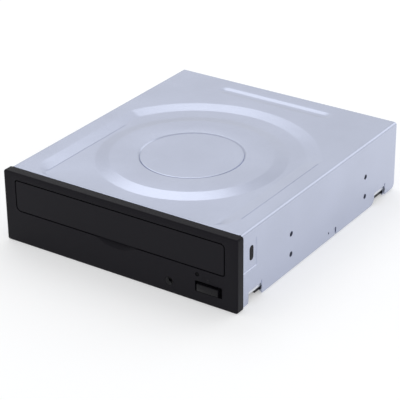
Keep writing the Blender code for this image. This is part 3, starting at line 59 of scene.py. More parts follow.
# %% [markdown]
# The camera stands to the right of the drive's front and looks down by about 27 degrees, with a
# long lens, because the two long edges of the case hardly run together in the picture. The three
# axes were worked out from the corners of the case, so they are written as a matrix and not as
# angles.

# %% Camera
lens = bpy.data.cameras.new("portrait_lens")
lens.lens = 145.82
lens.sensor_width = 36
camera = bpy.data.objects.new("portrait_camera", lens)
to_right = Vector((0.8294, 0.5586, -0.0093))
to_top = Vector((-0.2459, 0.3799, 0.8918))
to_viewer = Vector((0.5017, -0.7373, 0.4524))
turn = Matrix((to_right, to_top, to_viewer)).transposed().to_4x4()
camera_place = Vector((0.4489, -0.6658, 0.4159))
camera.matrix_world = Matrix.Translation(camera_place) @ turn
bpy.context.scene.collection.objects.link(camera)
bpy.context.scene.camera = camera
print("camera", round(camera.location.length, 3), "m from the drive")

# %% [markdown]
# Materials are written as sums. Each output of a shader node is wrapped in a small class, so that
# `1 - mask` or `mask * 0.2` adds the Math node that it stands for. Any other node comes from one
# method that takes the node's type, its settings and what goes into its sockets.

# %% Sockets that can be used in sums
class Socket:
    """One output of a shader node."""

    def __init__(self, recipe, output):
        self.recipe = recipe
        self.output = output

    def __add__(self, other):
        return self.recipe.sum("ADD", self, other)

    def __sub__(self, other):
        return self.recipe.sum("SUBTRACT", self, other)

    def __rsub__(self, other):
        return self.recipe.sum("SUBTRACT", other, self)

    def __mul__(self, other):
        return self.recipe.sum("MULTIPLY", self, other)

    __radd__ = __add__
    __rmul__ = __mul__

    def above(self, low, high):
        """0 where the value is under low, 1 where it is over high, and smooth between."""
        return self.recipe.add("ShaderNodeMapRange", {"interpolation_type": "SMOOTHSTEP"},
                               {"Value": self, "From Min": low, "From Max": high})


# %% The nodes of one material
class Recipe:
    """The nodes of one material, added one at a time."""

    def __init__(self, name):
        self.material = bpy.data.materials.new(f"{name}_finish")
        self.material.use_nodes = True
        self.tree = self.material.node_tree
        self.tree.nodes.clear()

    def add(self, kind, settings=None, sockets=None, output=0):
        node = self.tree.nodes.new(kind)
        for name, value in (settings or {}).items():
            setattr(node, name, value)
        for name, value in (sockets or {}).items():
            if isinstance(value, Socket):
                self.tree.links.new(value.output, node.inputs[name])
            else:
                node.inputs[name].default_value = value
        return Socket(self, node.outputs[output] if node.outputs else None)

    def sum(self, operation, first, second):
        return self.add("ShaderNodeMath", {"operation": operation}, {0: first, 1: second})

    def mix(self, share, first, second):
        """A colour between two others."""
        return self.add("ShaderNodeMix", {"data_type": "RGBA"}, {0: share, 6: first, 7: second}, 2)

    def place(self, size, stretch=(1, 1, 1)):
        """A point's place on the object, counted in features of a size in metres."""
        where = self.add("ShaderNodeTexCoord", output=3)
        scale = tuple(s / size for s in stretch)
        return self.add("ShaderNodeMapping", {}, {"Vector": where, "Scale": scale})

    def noise(self, size, stretch=(1, 1, 1), detail=2.0):
        return self.add("ShaderNodeTexNoise", {},
                        {"Vector": self.place(size, stretch), "Scale": 1.0, "Detail": detail})

    def cells(self, size, output=0):
        return self.add("ShaderNodeTexVoronoi", {},
                        {"Vector": self.place(size), "Scale": 1.0}, output)

    def bump(self, height, depth):
        return self.add("ShaderNodeBump", {}, {"Height": height, "Distance": depth})

    def finish(self, sockets):
        shader = self.add("ShaderNodeBsdfPrincipled", {}, sockets)
        self.add("ShaderNodeOutputMaterial", {}, {"Surface": shader})
        return self.material


def tint(colour, factor=1.0):
    """A colour made lighter or darker, as the sockets want it."""
    return (colour[0] * factor, colour[1] * factor, colour[2] * factor, 1.0)


# %% [markdown]
# The case is steel sheet with a thin zinc coat. It isn't polished: the coat is a mat of tiny
# crystals that blurs reflections, with faint cloudy patches where the bath ran off and almost
# invisible lines in the direction in which the sheet was rolled. So the colour and the gloss both
# follow a cloud pattern, the bump follows stretched noise, and the metal is mostly, not wholly,
# metallic.

# %% Zinc-coated sheet
def zinc_finish(name, colour, roughness, rolled=(30, 1, 30)):
    zinc = Recipe(name)
    clouds = zinc.noise(0.034, detail=3.0)
    flakes = zinc.cells(0.0011, output=1)
    flake = zinc.add("ShaderNodeSeparateColor", {}, {"Color": flakes})
    lines = zinc.noise(0.012, rolled, detail=4.0)
    crystals = zinc.noise(0.00035, detail=2.0)
    shade = clouds * 0.65 + flake * 0.04 + lines * 0.18
    colours = zinc.mix(shade.above(0.2, 0.75), tint(colour, 0.95), tint(colour, 1.05))
    gloss = clouds * 0.06 + flake * 0.012 + crystals * 0.012 + (roughness - 0.04)
    height = crystals * 0.5 + lines * 0.5
    return zinc.finish({"Base Color": colours, "Metallic": 0.8, "Roughness": gloss,
                        "Normal": zinc.bump(height, 0.0000012)})


zinc_steel = zinc_finish("zinc_steel", (0.525, 0.561, 0.690), 0.25)
# A lighter copy of the zinc colour: painted highlight for the flange strips, which the table lights.
zinc_painted_light = zinc_finish("zinc_painted_light", (0.80, 0.82, 0.87), 0.30)
print("made", zinc_steel.name, zinc_painted_light.name)

# %% [markdown]
# Turned and stamped steel parts, such as screws, rods and the motor cans, are brighter and carry
# fine lines from the tool. The diecast chassis is duller and slightly grainy, with a skin of its
# own.

# %% Bright steel, diecast metal and copper
def metal_finish(name, colour, roughness, grain, depth, stretch=(1, 1, 1), metallic=1.0):
    metal = Recipe(name)
    clouds = metal.noise(0.008, detail=3.0)
    lines = metal.noise(grain, stretch, detail=3.0)
    colours = metal.mix(clouds.above(0.3, 0.7), tint(colour, 0.90), tint(colour, 1.05))
    gloss = clouds * 0.10 + lines * 0.08 + (roughness - 0.09)
    return metal.finish({"Base Color": colours, "Metallic": metallic, "Roughness": gloss,
                         "Normal": metal.bump(lines, depth)})


bright_steel = metal_finish("bright_steel", (0.62, 0.63, 0.66), 0.28, 0.0004, 0.00001, (1, 1, 12))
diecast = metal_finish("diecast", (0.42, 0.43, 0.45), 0.55, 0.0006, 0.00006, metallic=0.7)
copper = metal_finish("copper", (0.72, 0.40, 0.20), 0.34, 0.0005, 0.00002, (1, 1, 6))
print("made", [m.name for m in (bright_steel, diecast, copper)])

# %% [markdown]
# The plastics differ in how their moulds were finished. The front has a spark-eroded texture:
# shallow pits well under half a millimetre across, which leave a soft sheen and no clear
# reflection. The tray and the frame come from smoother moulds and show faint flow lines. The button
# and the funnel of the release hole are smoother still and shine a little. Gears are moulded in a
# slippery white plastic.

# %% Moulded plastics and rubber
def plastic_finish(name, colour, roughness, pit_size, pit_depth, shine=0.35, flow=0.05):
    plastic = Recipe(name)
    clouds = plastic.noise(0.022, (1, 1, 2.5), detail=2.0)
    pits = plastic.noise(pit_size, detail=2.0)
    soft = pits.above(0.35, 0.68)
    colours = plastic.mix(clouds * 0.7 + soft * 0.3, tint(colour, 0.90), tint(colour, 1.12))
    gloss = clouds * flow + soft * 0.10 + (roughness - 0.05 - flow / 2)
    return plastic.finish({"Base Color": colours, "Roughness": gloss, "IOR": 1.46,
                           "Specular IOR Level": shine,
                           "Normal": plastic.bump(soft, pit_depth)})


deep_black = (0.0070, 0.0065, 0.0085)
fine_pits = 0.00030
black_case = plastic_finish("black_case", (0.0050, 0.0042, 0.0076), 0.48, 0.00042, 0.00003, 0.17)
black_satin = plastic_finish("black_satin", (0.0052, 0.0044, 0.0078), 0.42, fine_pits, 0.000012,
                             0.17)
black_polished = plastic_finish("black_polished", deep_black, 0.26, fine_pits, 0.000006, 0.22)
black_gloss = plastic_finish("black_gloss", deep_black, 0.22, fine_pits, 0.000004, 0.3)
grey_print = plastic_finish("grey_print", (0.024, 0.023, 0.027), 0.50, fine_pits, 0.000004, 0.2)
black_frame = plastic_finish("black_frame", (0.020, 0.020, 0.022), 0.46, 0.0006, 0.00002, 0.4)
white_gear = plastic_finish("white_gear", (0.78, 0.77, 0.72), 0.42, 0.0008, 0.00001, 0.45)
grey_slider = plastic_finish("grey_slider", (0.34, 0.35, 0.36), 0.48, 0.0007, 0.00002, 0.4)
rubber = plastic_finish("rubber", (0.030, 0.029, 0.028), 0.78, 0.0004, 0.00003, 0.25, 0.08)
chip_black = plastic_finish("chip_black", (0.026, 0.026, 0.028), 0.62, 0.0003, 0.00002, 0.35)
print("made", [m.name for m in (black_case, black_satin, black_polished, black_gloss, grey_print,
                                black_frame, white_gear, grey_slider, rubber, chip_black)])

# %% [markdown]
# Clear parts are few: the lens, which shows the violet cast of its coating, and the smoked light
# guide in the front. The circuit board is green varnish over copper, so thin lines and dots of the
# copper show through as a lighter green.

# %% Glass, smoked plastic and circuit board
def clear_finish(name, colour, roughness, see_through, coat=0.6, shine=0.5):
    clear = Recipe(name)
    dust = clear.noise(0.0010, detail=3.0)
    gloss = dust.above(0.45, 0.75) * 0.10 + roughness
    return clear.finish({"Base Color": tint(colour), "Roughness": gloss, "IOR": 1.5,
                         "Transmission Weight": see_through, "Coat Weight": coat,
                         "Specular IOR Level": shine,
                         "Normal": clear.bump(dust, 0.000004)})


def board_finish(name, varnish, line):
    board = Recipe(name)
    grid = board.cells(0.0021)
    rows = board.noise(0.0030, (1, 0.15, 1), detail=0.0)
    columns = board.noise(0.0030, (0.15, 1, 1), detail=0.0)
    traces = rows.above(0.52, 0.53) * (1 - rows.above(0.56, 0.57))
    traces = traces + columns.above(0.55, 0.56) * (1 - columns.above(0.59, 0.60))
    dots = 1 - grid.above(0.10, 0.14)
    show = board.sum("MINIMUM", traces + dots, 1.0)
    colours = board.mix(show, tint(varnish), tint(line))
    weave = board.noise(0.0007, detail=1.0)
    return board.finish({"Base Color": colours, "Roughness": weave * 0.12 + 0.26,
                         "Coat Weight": 0.3,
                         "Normal": board.bump(show * 0.7 + weave * 0.3, 0.00002)})


lens_glass = clear_finish("lens_glass", (0.78, 0.74, 0.92), 0.03, 0.85)
smoked_clear = clear_finish("smoked_clear", (0.003, 0.003, 0.004), 0.35, 0.05, 0.0, 0.06)
board_green = board_finish("board_green", (0.012, 0.070, 0.030), (0.035, 0.150, 0.060))

print("made", [m.name for m in (lens_glass, smoked_clear, board_green)])

# %% [markdown]
# The drive lies on a white table under soft lamps. The world gives an even level from all sides. On
# sheet metal one sees what it mirrors, so three lamps stand where a part of the cover mirrors them
# towards the camera: one high behind for the slopes that face the front, a weak low one for the
# flat top, and one behind at the right for the bend along the side. A weak fourth lamp lights the
# wall. The table keeps the shadow; only the camera, mirrors and glass see it at full white.

# %% Table, world and lamps
def seen_directly(recipe):
    """1 for what the camera, a mirror or glass sees, 0 for light that only falls on things."""
    path = recipe.tree.nodes.new("ShaderNodeLightPath")
    rays = [Socket(recipe, path.outputs[f"Is {kind} Ray"])
            for kind in ("Camera", "Glossy", "Transmission")]
    return recipe.sum("MINIMUM", rays[0] + rays[1] + rays[2], 1.0)


table_paint = Recipe("table_paint")
direct = seen_directly(table_paint)
card = table_paint.mix(direct, (0.90, 0.90, 0.90, 1), (0.76, 0.76, 0.765, 1))
glow = table_paint.mix(direct, (0, 0, 0, 1), (0.37, 0.37, 0.37, 1))
table_paint.finish({"Base Color": card, "Emission Color": glow, "Emission Strength": 1.0,
                    "Roughness": 0.9, "Specular IOR Level": 0.0})

shape = bmesh.new()
bmesh.ops.create_grid(shape, x_segments=1, y_segments=1, size=4.0)
mesh = bpy.data.meshes.new("table")
shape.to_mesh(mesh)
shape.free()
mesh.materials.append(table_paint.material)
table = bpy.data.objects.new("table", mesh)
bpy.context.scene.collection.objects.link(table)

scene = bpy.context.scene
scene.world = bpy.data.worlds.new("studio")
scene.world.use_nodes = True
studio = scene.world.node_tree.nodes["Background"]
studio.inputs["Color"].default_value = (0.98, 0.99, 1.0, 1)
studio.inputs["Strength"].default_value = 0.76
scene.view_settings.view_transform = "Standard"


def soft_lamp(name, place, size, level):
    """A round lamp aimed at the drive; level 1 alone would light a white card to white."""
    data = bpy.data.lights.new(name, "AREA")
    data.shape = "DISK"
    data.size = size
    distance = Vector(place).length
    data.energy = level * math.pi ** 2 * distance ** 2
    lamp = bpy.data.objects.new(name, data)
    lamp.matrix_world = (Matrix.Translation(place)
                         @ (-Vector(place)).to_track_quat("-Z", "Y").to_matrix().to_4x4())
    scene.collection.objects.link(lamp)


soft_lamp("lamp_behind", (-0.94, 0.86, 1.60), 1.20, 0.085)
soft_lamp("lamp_low", (-0.96, 1.50, 0.80), 1.0, 0.010)
soft_lamp("lamp_edge", (0.58, 1.60, 1.00), 1.6, 0.105)
soft_lamp("lamp_right", (1.9, -0.4, 1.1), 1.0, 0.004)

# %% [markdown]
# Small helpers for the modelling. A tool shape is a box, a rod or an outline with a thickness, made
# with bmesh operators. `carve` takes tools away from a piece with exact booleans,
# and keeps only the finished mesh, so nothing of the tools is left in the scene.

# %% Tool shapes
AXES = {"X": Matrix.Rotation(math.pi / 2, 4, "Y"), "Y": Matrix.Rotation(-math.pi / 2, 4, "X"),
        "Z": Matrix.Identity(4)}
UPRIGHT = {"X": Matrix(((0, 0, 1, 0), (1, 0, 0, 0), (0, 1, 0, 0), (0, 0, 0, 1))),
           "Y": Matrix(((1, 0, 0, 0), (0, 0, 1, 0), (0, 1, 0, 0), (0, 0, 0, 1))),
           "Z": Matrix.Identity(4)}


def keep(shape, name, finish=None, smooth=30):
    """Turns a bmesh into an object at the origin, smooth where its faces meet at a flat angle."""
    mesh = bpy.data.meshes.new(name)
    shape.to_mesh(mesh)
    shape.free()
    mesh.shade_smooth()
    mesh.set_sharp_from_angle(angle=math.radians(smooth))
    piece = bpy.data.objects.new(name, mesh)
    bpy.context.scene.collection.objects.link(piece)
    if finish:
        mesh.materials.append(finish)
    return piece


def block(x, y, z, into=None):
    """A box between three pairs of limits, in lengths of the drive."""
    shape = into or bmesh.new()
    low = Vector((x[0], at(y[0]), z[0]))
    high = Vector((x[1], at(y[1]), z[1]))
    place = Matrix.Translation((low + high) / 2) @ Matrix.Diagonal((*(high - low), 1))
    bmesh.ops.create_cube(shape, size=1, matrix=place)
    return shape


def rod(centre, span, radius, along="Z", end_radius=None, steps=48, into=None):
    """A rod or cone along an axis; centre gives the other two coordinates."""
    shape = into or bmesh.new()
    middle = list(centre)
    middle.insert("XYZ".index(along), (span[0] + span[1]) / 2)
    middle[1] = at(middle[1])
    bmesh.ops.create_cone(shape, cap_ends=True, segments=steps, radius1=radius,
                          radius2=radius if end_radius is None else end_radius,
                          depth=span[1] - span[0],
                          matrix=Matrix.Translation(middle) @ AXES[along])
    return shape


def prism(outline, span, along="Z", into=None):
    """A flat outline extruded along an axis."""
    shape = into or bmesh.new()
    corners = [shape.verts.new((u, v, 0)) for u, v in outline]
    face = shape.faces.new(corners)
    walls = bmesh.ops.extrude_face_region(shape, geom=[face])["geom"]
    moved = [v for v in walls if isinstance(v, bmesh.types.BMVert)]
    bmesh.ops.translate(shape, verts=moved, vec=(0, 0, span[1] - span[0]))
    shift = [0, drive_shift, 0]
    shift["XYZ".index(along)] += span[0]
    bmesh.ops.transform(shape, matrix=Matrix.Translation(shift) @ UPRIGHT[along],
                        verts=corners + moved)
    bmesh.ops.recalc_face_normals(shape, faces=shape.faces)
    return shape


def carve(piece, *tools, smooth=30):
    """Takes tool shapes away from a piece and keeps the result as its mesh."""
    helpers = []
    for number, tool in enumerate(tools):
        helper = keep(tool, f"{piece.name}_tool_{number}")
        helpers.append(helper)
        step = piece.modifiers.new("carve", "BOOLEAN")
        step.operation = "DIFFERENCE"
        step.solver = "EXACT"
        step.object = helper
    bpy.context.view_layer.update()
    seen = piece.evaluated_get(bpy.context.evaluated_depsgraph_get())
    mesh = bpy.data.meshes.new_from_object(seen)
    old = piece.data
    piece.modifiers.clear()
    piece.data = mesh
    bpy.data.meshes.remove(old)
    for helper in helpers:
        bpy.data.meshes.remove(helper.data)
    mesh.shade_smooth()
    mesh.set_sharp_from_angle(angle=math.radians(smooth))
    return piece


def arc(centre, radius, start, end, steps):
    angles = [math.radians(start + (end - start) * i / steps) for i in range(steps + 1)]
    return [(centre[0] + radius * math.cos(a), centre[1] + radius * math.sin(a)) for a in angles]


def slot(start, end, radius, steps=10):
    """A slot with round ends between two points."""
    heading = math.degrees(math.atan2(end[1] - start[1], end[0] - start[0]))
    return (arc(end, radius, heading - 90, heading + 90, steps)
            + arc(start, radius, heading + 90, heading + 270, steps))


body_of_node = {node: body for body, nodes in frame["record"]["behaviour"]["bodies"].items()
                for node in nodes}


def stands_for(piece, *nodes, finish):
    """The piece replaces CAD nodes and rides on the body that they ride on."""
    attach(piece, body_of_node[nodes[0]])
    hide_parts(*nodes)
    return piece


print("bodies:", sorted(set(body_of_node.values())))

# %% [markdown]
# The top of the drive is one sheet, pressed in a die. Round the spindle lies a shallow dish; round
# it rises a flat plateau; the plateau stands in a sunken panel whose rear edge follows the disc and
# whose sides run straight to the front. Such a form could be carved from a slab, but a press pulls
# a sheet into rings of slopes and flats, so the sheet is grown the same way: a circle round the
# spindle is extruded outwards ring after ring, and each ring gets the height that the die gives it.

# %% Outlines of the pressed panel, seen from the spindle
sheet = 0.0008
body_height = 0.0417
body_half = 0.0730
body_depth = 0.1615
bend_radius = 0.0016
disc_centre = 0.064
cover_front = 0.0003

dish_radius = 0.0282
dish_depth = 0.0003
crease = 0.00042
plateau_top = 0.0445
plateau_foot = 0.0528
panel_depth = 0.0012
floor_radius, floor_half, floor_corner = 0.0612, 0.0548, 0.005
rim_radius, rim_half, rim_corner = 0.0702, 0.0631, 0.015
floor_front = disc_centre - 0.0035
rim_front = disc_centre - 0.0012
spokes = 432
tiny = 1e-6


def reach(angle, radius, half, front, corner):
    """Distance from the spindle to an outline: round behind, straight at the sides and in front."""
    c, s = abs(math.cos(angle)), math.sin(angle)
    far = min(radius, half / c) if c > tiny else radius
    if s < 0:
        far = min(half / c if c > tiny else 1.0, front / -s)
        corner_x, corner_y = half - corner, front - corner
        if c * far > corner_x and -s * far > corner_y:
            along = c * corner_x - s * corner_y
            off = corner_x ** 2 + corner_y ** 2 - along ** 2
            far = along + math.sqrt(max(corner ** 2 - off, 0))
    return far


def floor_line(angle):
    """Where the panel's slope begins to rise."""
    return reach(angle, floor_radius, floor_half, floor_front, floor_corner)


def rim_line(angle):
    """Where the panel's slope ends at the top."""
    return reach(angle, rim_radius, rim_half, rim_front, rim_corner)


def ramp(share, soft=0.07):
    """Height along a pressed slope: straight in the middle, with a soft bend at both ends."""
    scale = 1 / (1 - soft)
    if share < soft:
        return scale * share * share / (2 * soft)
    if share > 1 - soft:
        return 1 - scale * (1 - share) ** 2 / (2 * soft)
    return scale * (share - soft / 2)


ramp_steps = [0.02, 0.04, 0.06, 0.08, 0.3, 0.5, 0.7, 0.92, 0.94, 0.96, 0.98, 1.0]
print("panel reaches back", round(rim_line(math.pi / 2) * 1000, 1), "mm from the spindle")

# %% [markdown]
# The first circle has one point for each spoke. The field's corners and the ends of the panel's arc
# need a point of their own, or they would be cut off, so the nearest spoke is turned towards each.

# %% Growing the sheet outwards from the spindle
front_roll = 0.0003
front_flat = cover_front + front_roll
flat_half = body_half - bend_radius
field_rear = 0.1405
start_radius = dish_radius - 0.0010
square_corners = [math.atan2(y, x) for x in (-flat_half, flat_half)
                  for y in (front_flat - disc_centre, field_rear - disc_centre)]
arc_ends = [math.atan2(math.sqrt(rim_radius ** 2 - rim_half ** 2), side * rim_half)
            for side in (-1, 1)]

cover = bmesh.new()
bmesh.ops.create_circle(cover, cap_ends=True, segments=spokes, radius=start_radius,
                        matrix=Matrix.Translation((0, at(disc_centre), body_height - dish_depth)))


def angle_of(point):
    return math.atan2(point.y - at(disc_centre), point.x)


for special in square_corners + arc_ends:
    nearest = min(cover.verts, key=lambda v: abs(
        math.remainder(angle_of(v.co) - special, 2 * math.pi)))
    nearest.co.x = start_radius * math.cos(special)
    nearest.co.y = at(disc_centre) + start_radius * math.sin(special)


def grow(edges, place):
    """Extrudes an open edge and gives each new point its place."""
    made = bmesh.ops.extrude_edge_only(cover, edges=edges)["geom"]
    fresh = {v for v in made if isinstance(v, bmesh.types.BMVert)}
    for v in fresh:
        v.co = place(v.co)
    return [e for e in made if isinstance(e, bmesh.types.BMEdge) and set(e.verts) <= fresh]


def ring(distance, height):
    """A rule that puts a point at a distance from the spindle in its own direction."""
    def place(point):
        angle = angle_of(point)
        far = distance(angle) if callable(distance) else distance
        return Vector((far * math.cos(angle), at(disc_centre) + far * math.sin(angle),
                       body_height + height))
    return place


dish_profile = ((0.00008, -dish_depth), (0.00002, -dish_depth - 0.00003),
                (0, -dish_depth - 0.00008), (-0.00003, -dish_depth - crease),
                (-0.00010, -dish_depth - crease), (-0.00102, -0.00006), (-0.00112, -0.00002),
                (-0.00125, 0))
edge = list(cover.edges)
for inset, height in dish_profile:
    edge = grow(edge, ring(dish_radius - inset, height))
edge = grow(edge, ring(plateau_top, 0))
for share in ramp_steps:
    far = plateau_top + share * (plateau_foot - plateau_top)
    edge = grow(edge, ring(far, -panel_depth * ramp(share)))
foot_land = 0.0003
edge = grow(edge, ring(plateau_foot + foot_land, -panel_depth))
edge = grow(edge, ring(floor_line, -panel_depth))
for share in ramp_steps:
    def between(angle, share=share):
        return floor_line(angle) * (1 - share) + rim_line(angle) * share
    edge = grow(edge, ring(between, panel_depth * (ramp(share) - 1)))
print("rings grown, points:", len(cover.verts))

# %% [markdown]
# Outside the panel the sheet runs flat to its edges. Behind the panel a long stiffening groove is
# pressed in, its slopes as wide as a pencil line and its ends round. The front edge is rolled over
# a little, which is why it shows as a thin bright line above the plastic front.

# %% Flat field, stiffening groove and rolled front edge
groove_half = 0.0331
groove_middle = 0.1481
groove_outer = 0.0046
groove_inner = 0.0009
groove_depth = 0.0006
square = 0.0004


def rectangle(inset, front, rear):
    """A rule for the distance from the spindle to a rectangle."""
    def far(angle):
        c, s = abs(math.cos(angle)), math.sin(angle)
        sides = (flat_half - inset) / c if c > tiny else 1.0
        ends = ((rear - disc_centre) / s if s > tiny
                else (disc_centre - front) / -s if s < -tiny else 1.0)
        return min(sides, ends)
    return far


def with_groove(point):
    """The sheet's height behind the panel."""
    along = max(abs(point.x) - groove_half, 0)
    off = math.hypot(along, point.y - at(groove_middle))
    share = (groove_outer - off) / (groove_outer - groove_inner)
    point = point.copy()
    point.z = body_height - groove_depth * ramp(min(max(share, 0), 1))
    return point


edge = grow(edge, ring(rectangle(square, front_flat + 0.0001, field_rear - 0.0003), 0))
edge = grow(edge, ring(rectangle(0, front_flat, field_rear), 0))

rear_line = [e for e in edge if all(v.co.y > at(field_rear) - tiny for v in e.verts)]
rows = 48
for row in range(1, rows + 1):
    length = field_rear + (body_depth - field_rear) * row / rows
    rear_line = grow(rear_line, lambda point, y=length: with_groove(Vector((point.x, at(y), 0))))

front_line = [e for e in edge if all(v.co.y < at(front_flat) + tiny for v in e.verts)]
for turn_step in (30, 60, 90):
    bend = math.radians(turn_step)
    front_line = grow(front_line, lambda point, a=bend: Vector(
        (point.x, at(front_flat) - front_roll * math.sin(a),
         body_height - front_roll * (1 - math.cos(a)))))
print("field done, points:", len(cover.verts))

# %% [markdown]
# The two sides are bent down from the same sheet. The open edges at the left and right are extruded
# round the bend in small turns and then straight down, so top, bends and walls stay one surface,
# and the sheet gets its thickness inwards at the end.

# %% Side walls and thickness
wall_foot = 0.0005
bend_turns = 8
for side in (-1, 1):
    line = [e for e in cover.edges if e.is_boundary
            and all(abs(v.co.x - side * flat_half) < tiny for v in e.verts)
            and all(v.co.z > body_height - tiny for v in e.verts)]
    for turn_step in range(1, bend_turns + 1):
        bend = math.radians(90 * turn_step / bend_turns)
        line = grow(line, lambda point, a=bend: Vector(
            (side * (flat_half + bend_radius * math.sin(a)), point.y,
             body_height - bend_radius * (1 - math.cos(a)))))
    for height in (body_height - bend_radius - square, wall_foot):
        line = grow(line, lambda point, z=height: Vector((point.x, point.y, z)))
bmesh.ops.recalc_face_normals(cover, faces=cover.faces)
if sum(f.normal.z * f.calc_area() for f in cover.faces) < 0:
    bmesh.ops.reverse_faces(cover, faces=cover.faces)
bmesh.ops.solidify(cover, geom=cover.faces, thickness=sheet)
pressed_cover = keep(cover, "pressed_cover", zinc_steel)
print("sheet with", len(pressed_cover.data.polygons), "faces")

# %% [markdown]
# The side walls are pierced before they are bent: four screw holes on each side at the heights that
# every bay uses, a slot that the plastic front snaps into, and notches along the lower edge where
# the bottom plate's tabs and the bay's springs go. Round the snap slot the wall is set in a little.
# Both walls are the same, so each tool runs right across the drive. The die also leaves a fine line
# at the foot of the panel's left slope and at the rim of the right one, cut here as two shallow
# grooves.

# %% Sizes of the holes, slots and notches
past = 0.002
across = (-body_half - past, body_half + past)
mount_rows = (0.0474, 0.12665)
hole_heights = (0.00991, 0.02184)
clip_y = 0.00965
clip_z = (0.0238, 0.0322)
clip_round = 0.00185
hole_radius, pin_hole_radius = 0.0015, 0.0006
pin_hole = (0.0868, 0.0045)
middle_slit = ((0.0935, 0.0950), (-past, 0.0050))
notch_top, slit_top, slit_width = 0.0070, 0.0083, 0.0013
front_notch, front_slit = 0.0056, 0.0180
rear_notch, rear_step, rear_slit = 0.1340, 0.1380, 0.1494
corner_height, corner_round, notch_round = 0.0042, 0.003, 0.004
print("side wall holes at", mount_rows, "and", hole_heights)

# %% Holes, slots and notches of the side walls
holes = bmesh.new()
for row in mount_rows:
    for height in hole_heights:
        rod((row, height), across, hole_radius, "X", steps=32, into=holes)
prism(slot((clip_y, clip_z[0] + clip_round), (clip_y, clip_z[1] - clip_round), clip_round),
      across, "X", into=holes)
rod(pin_hole, across, pin_hole_radius, "X", steps=20, into=holes)
(near, far), (low, high) = middle_slit
prism([(near, low), (far, low), (far, high), (near, high)], across, "X", into=holes)
prism([(front_notch, -past), (front_slit + slit_width, -past), (front_slit + slit_width, slit_top),
       (front_slit, slit_top), (front_slit, notch_top), (0.0064, notch_top), (0.0064, 0.0025)],
      across, "X", into=holes)
prism([(rear_notch, -past), (body_depth + past, -past), (body_depth + past, corner_height)]
      + arc((body_depth - corner_round, corner_height), corner_round, 0, -90, 8)
      + [(rear_slit + slit_width, 0.0012), (rear_slit + slit_width, slit_top),
         (rear_slit, slit_top), (rear_slit, notch_top), (rear_step, notch_top)]
      + arc((rear_notch, wall_foot + notch_round), notch_round, 0, -90, 8),
      across, "X", into=holes)
print("hole tools:", len(holes.faces), "faces")

# %% Set-in frame round the snap slot, fine lines of the die
frames = bmesh.new()
dimple, dimple_rear, dimple_slope = 0.0004, 0.0142, 0.0020
dimple_heights = (0.0195, 0.0350)
for side in (-1, 1):
    spot = sorted((side * (body_half - dimple), side * (body_half + past)))
    block(spot, (-past, dimple_rear), dimple_heights, into=frames)
    outer_points = {v for v in frames.verts
                    if abs(v.co.x - side * (body_half + past)) < tiny}
    for point in outer_points:
        point.co.z += math.copysign(dimple_slope, point.co.z - sum(dimple_heights) / 2)
        if point.co.y > at(0):
            point.co.y += dimple_slope

die_lines = bmesh.new()
line_half, line_depth = 0.00013, 0.00020
rim_mark = (rim_half, 0, 0.049, 0.027)
foot_mark = (-floor_half, -panel_depth, 0.056, 0.014)
for middle, level, ahead, behind in (rim_mark, foot_mark):
    block((middle - line_half, middle + line_half), (disc_centre - ahead, disc_centre + behind),
          (body_height + level - line_depth, body_height + past), into=die_lines)
carve(pressed_cover, frames, holes, die_lines)
stands_for(pressed_cover, "top_cover", finish="zinc_steel")
print("pressed cover:", len(pressed_cover.data.polygons), "faces")

# %% [markdown]
# Inside the notches the bottom plate's flange runs on behind the wall, a strip of sheet over the
# dark opening. Its colour is a lighter copy of the zinc, a painted highlight for the light that the
# table throws on it. On the real drive it is folded up with the plate, so it stands in the flange's
# own plane here; plain blocks are enough, since nothing but their lower edge shows.

# %% Flange strips behind the notches
flange_plane = (0.0711, 0.0719)
strip_foot = 0.0043
strips = bmesh.new()
for side in (-1, 1):
    plane = sorted(side * x for x in flange_plane)
    block(plane, (0.0048, 0.0246), (strip_foot, 0.0150), into=strips)
    block(plane, (rear_notch, 0.1535), (strip_foot, 0.0238), into=strips)
# The strips wear the lighter copy of the zinc, a painted highlight.
flange_strips = keep(strips, "flange_strips", zinc_painted_light)
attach(flange_strips, "drive")
print("flange strips:", len(flange_strips.data.polygons), "faces")

# %% [markdown]
# Some small forms are cut before the edges are rounded. The release hole lies in a funnel that
# guides a bent wire, a shallow sign over the button shows a triangle on a bar, as on any such
# drive, and the screw heads have a cross for the driver. A cone, thin prisms and a plus-shaped
# outline do it. The sign is also filled with a plastic one shade lighter, so that it can just be
# seen on the black.

# %% Funnel of the release hole
bezel_face = -0.0055
release = (0.0327, 0.00675)
seat_radius = 0.0023
seat = rod(release, (bezel_face - 0.001, bezel_face + 0.0019), seat_radius, "Y", steps=64)
funnel = keep(rod(release, (bezel_face + 0.00005, bezel_face + 0.0018), 0.00228, "Y", steps=64),
              "release_funnel", black_gloss)
carve(funnel, rod(release, (bezel_face - 0.0002, bezel_face + 0.0012), seat_radius, "Y",
                  end_radius=0.0009, steps=64),
      rod(release, (bezel_face + 0.001, bezel_face + 0.003), 0.00095, "Y", steps=32), smooth=40)
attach(funnel, "drive")
print("funnel:", len(funnel.data.polygons), "faces")

# %% Sign over the button
sign_x, sign_z, sign_half, sign_depth = 0.0564, 0.0140, 0.0011, 0.00012
sign_span = (bezel_face - 0.001, bezel_face + sign_depth)
left, right = sign_x - sign_half, sign_x + sign_half
sign = prism([(left, sign_z), (right, sign_z), (sign_x, sign_z + 0.0010)], sign_span, "Y")
bar_low, bar_high = sign_z - 0.0008, sign_z - 0.0004
prism([(left, bar_low), (right, bar_low), (right, bar_high), (left, bar_high)],
      sign_span, "Y", into=sign)
inlay = sign.copy()
print_face, print_back = 0.00003, 0.0003
for point in inlay.verts:
    front = point.co.y < at(bezel_face)
    point.co.y = at(bezel_face + (print_face if front else print_back))
button_sign = keep(inlay, "button_sign", grey_print)
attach(button_sign, "drive")
print("button sign:", len(button_sign.data.polygons), "faces")


# %% Crosses of the screw heads
def is_screw(node):
    return "screw_" in node and node != "screw_follower"


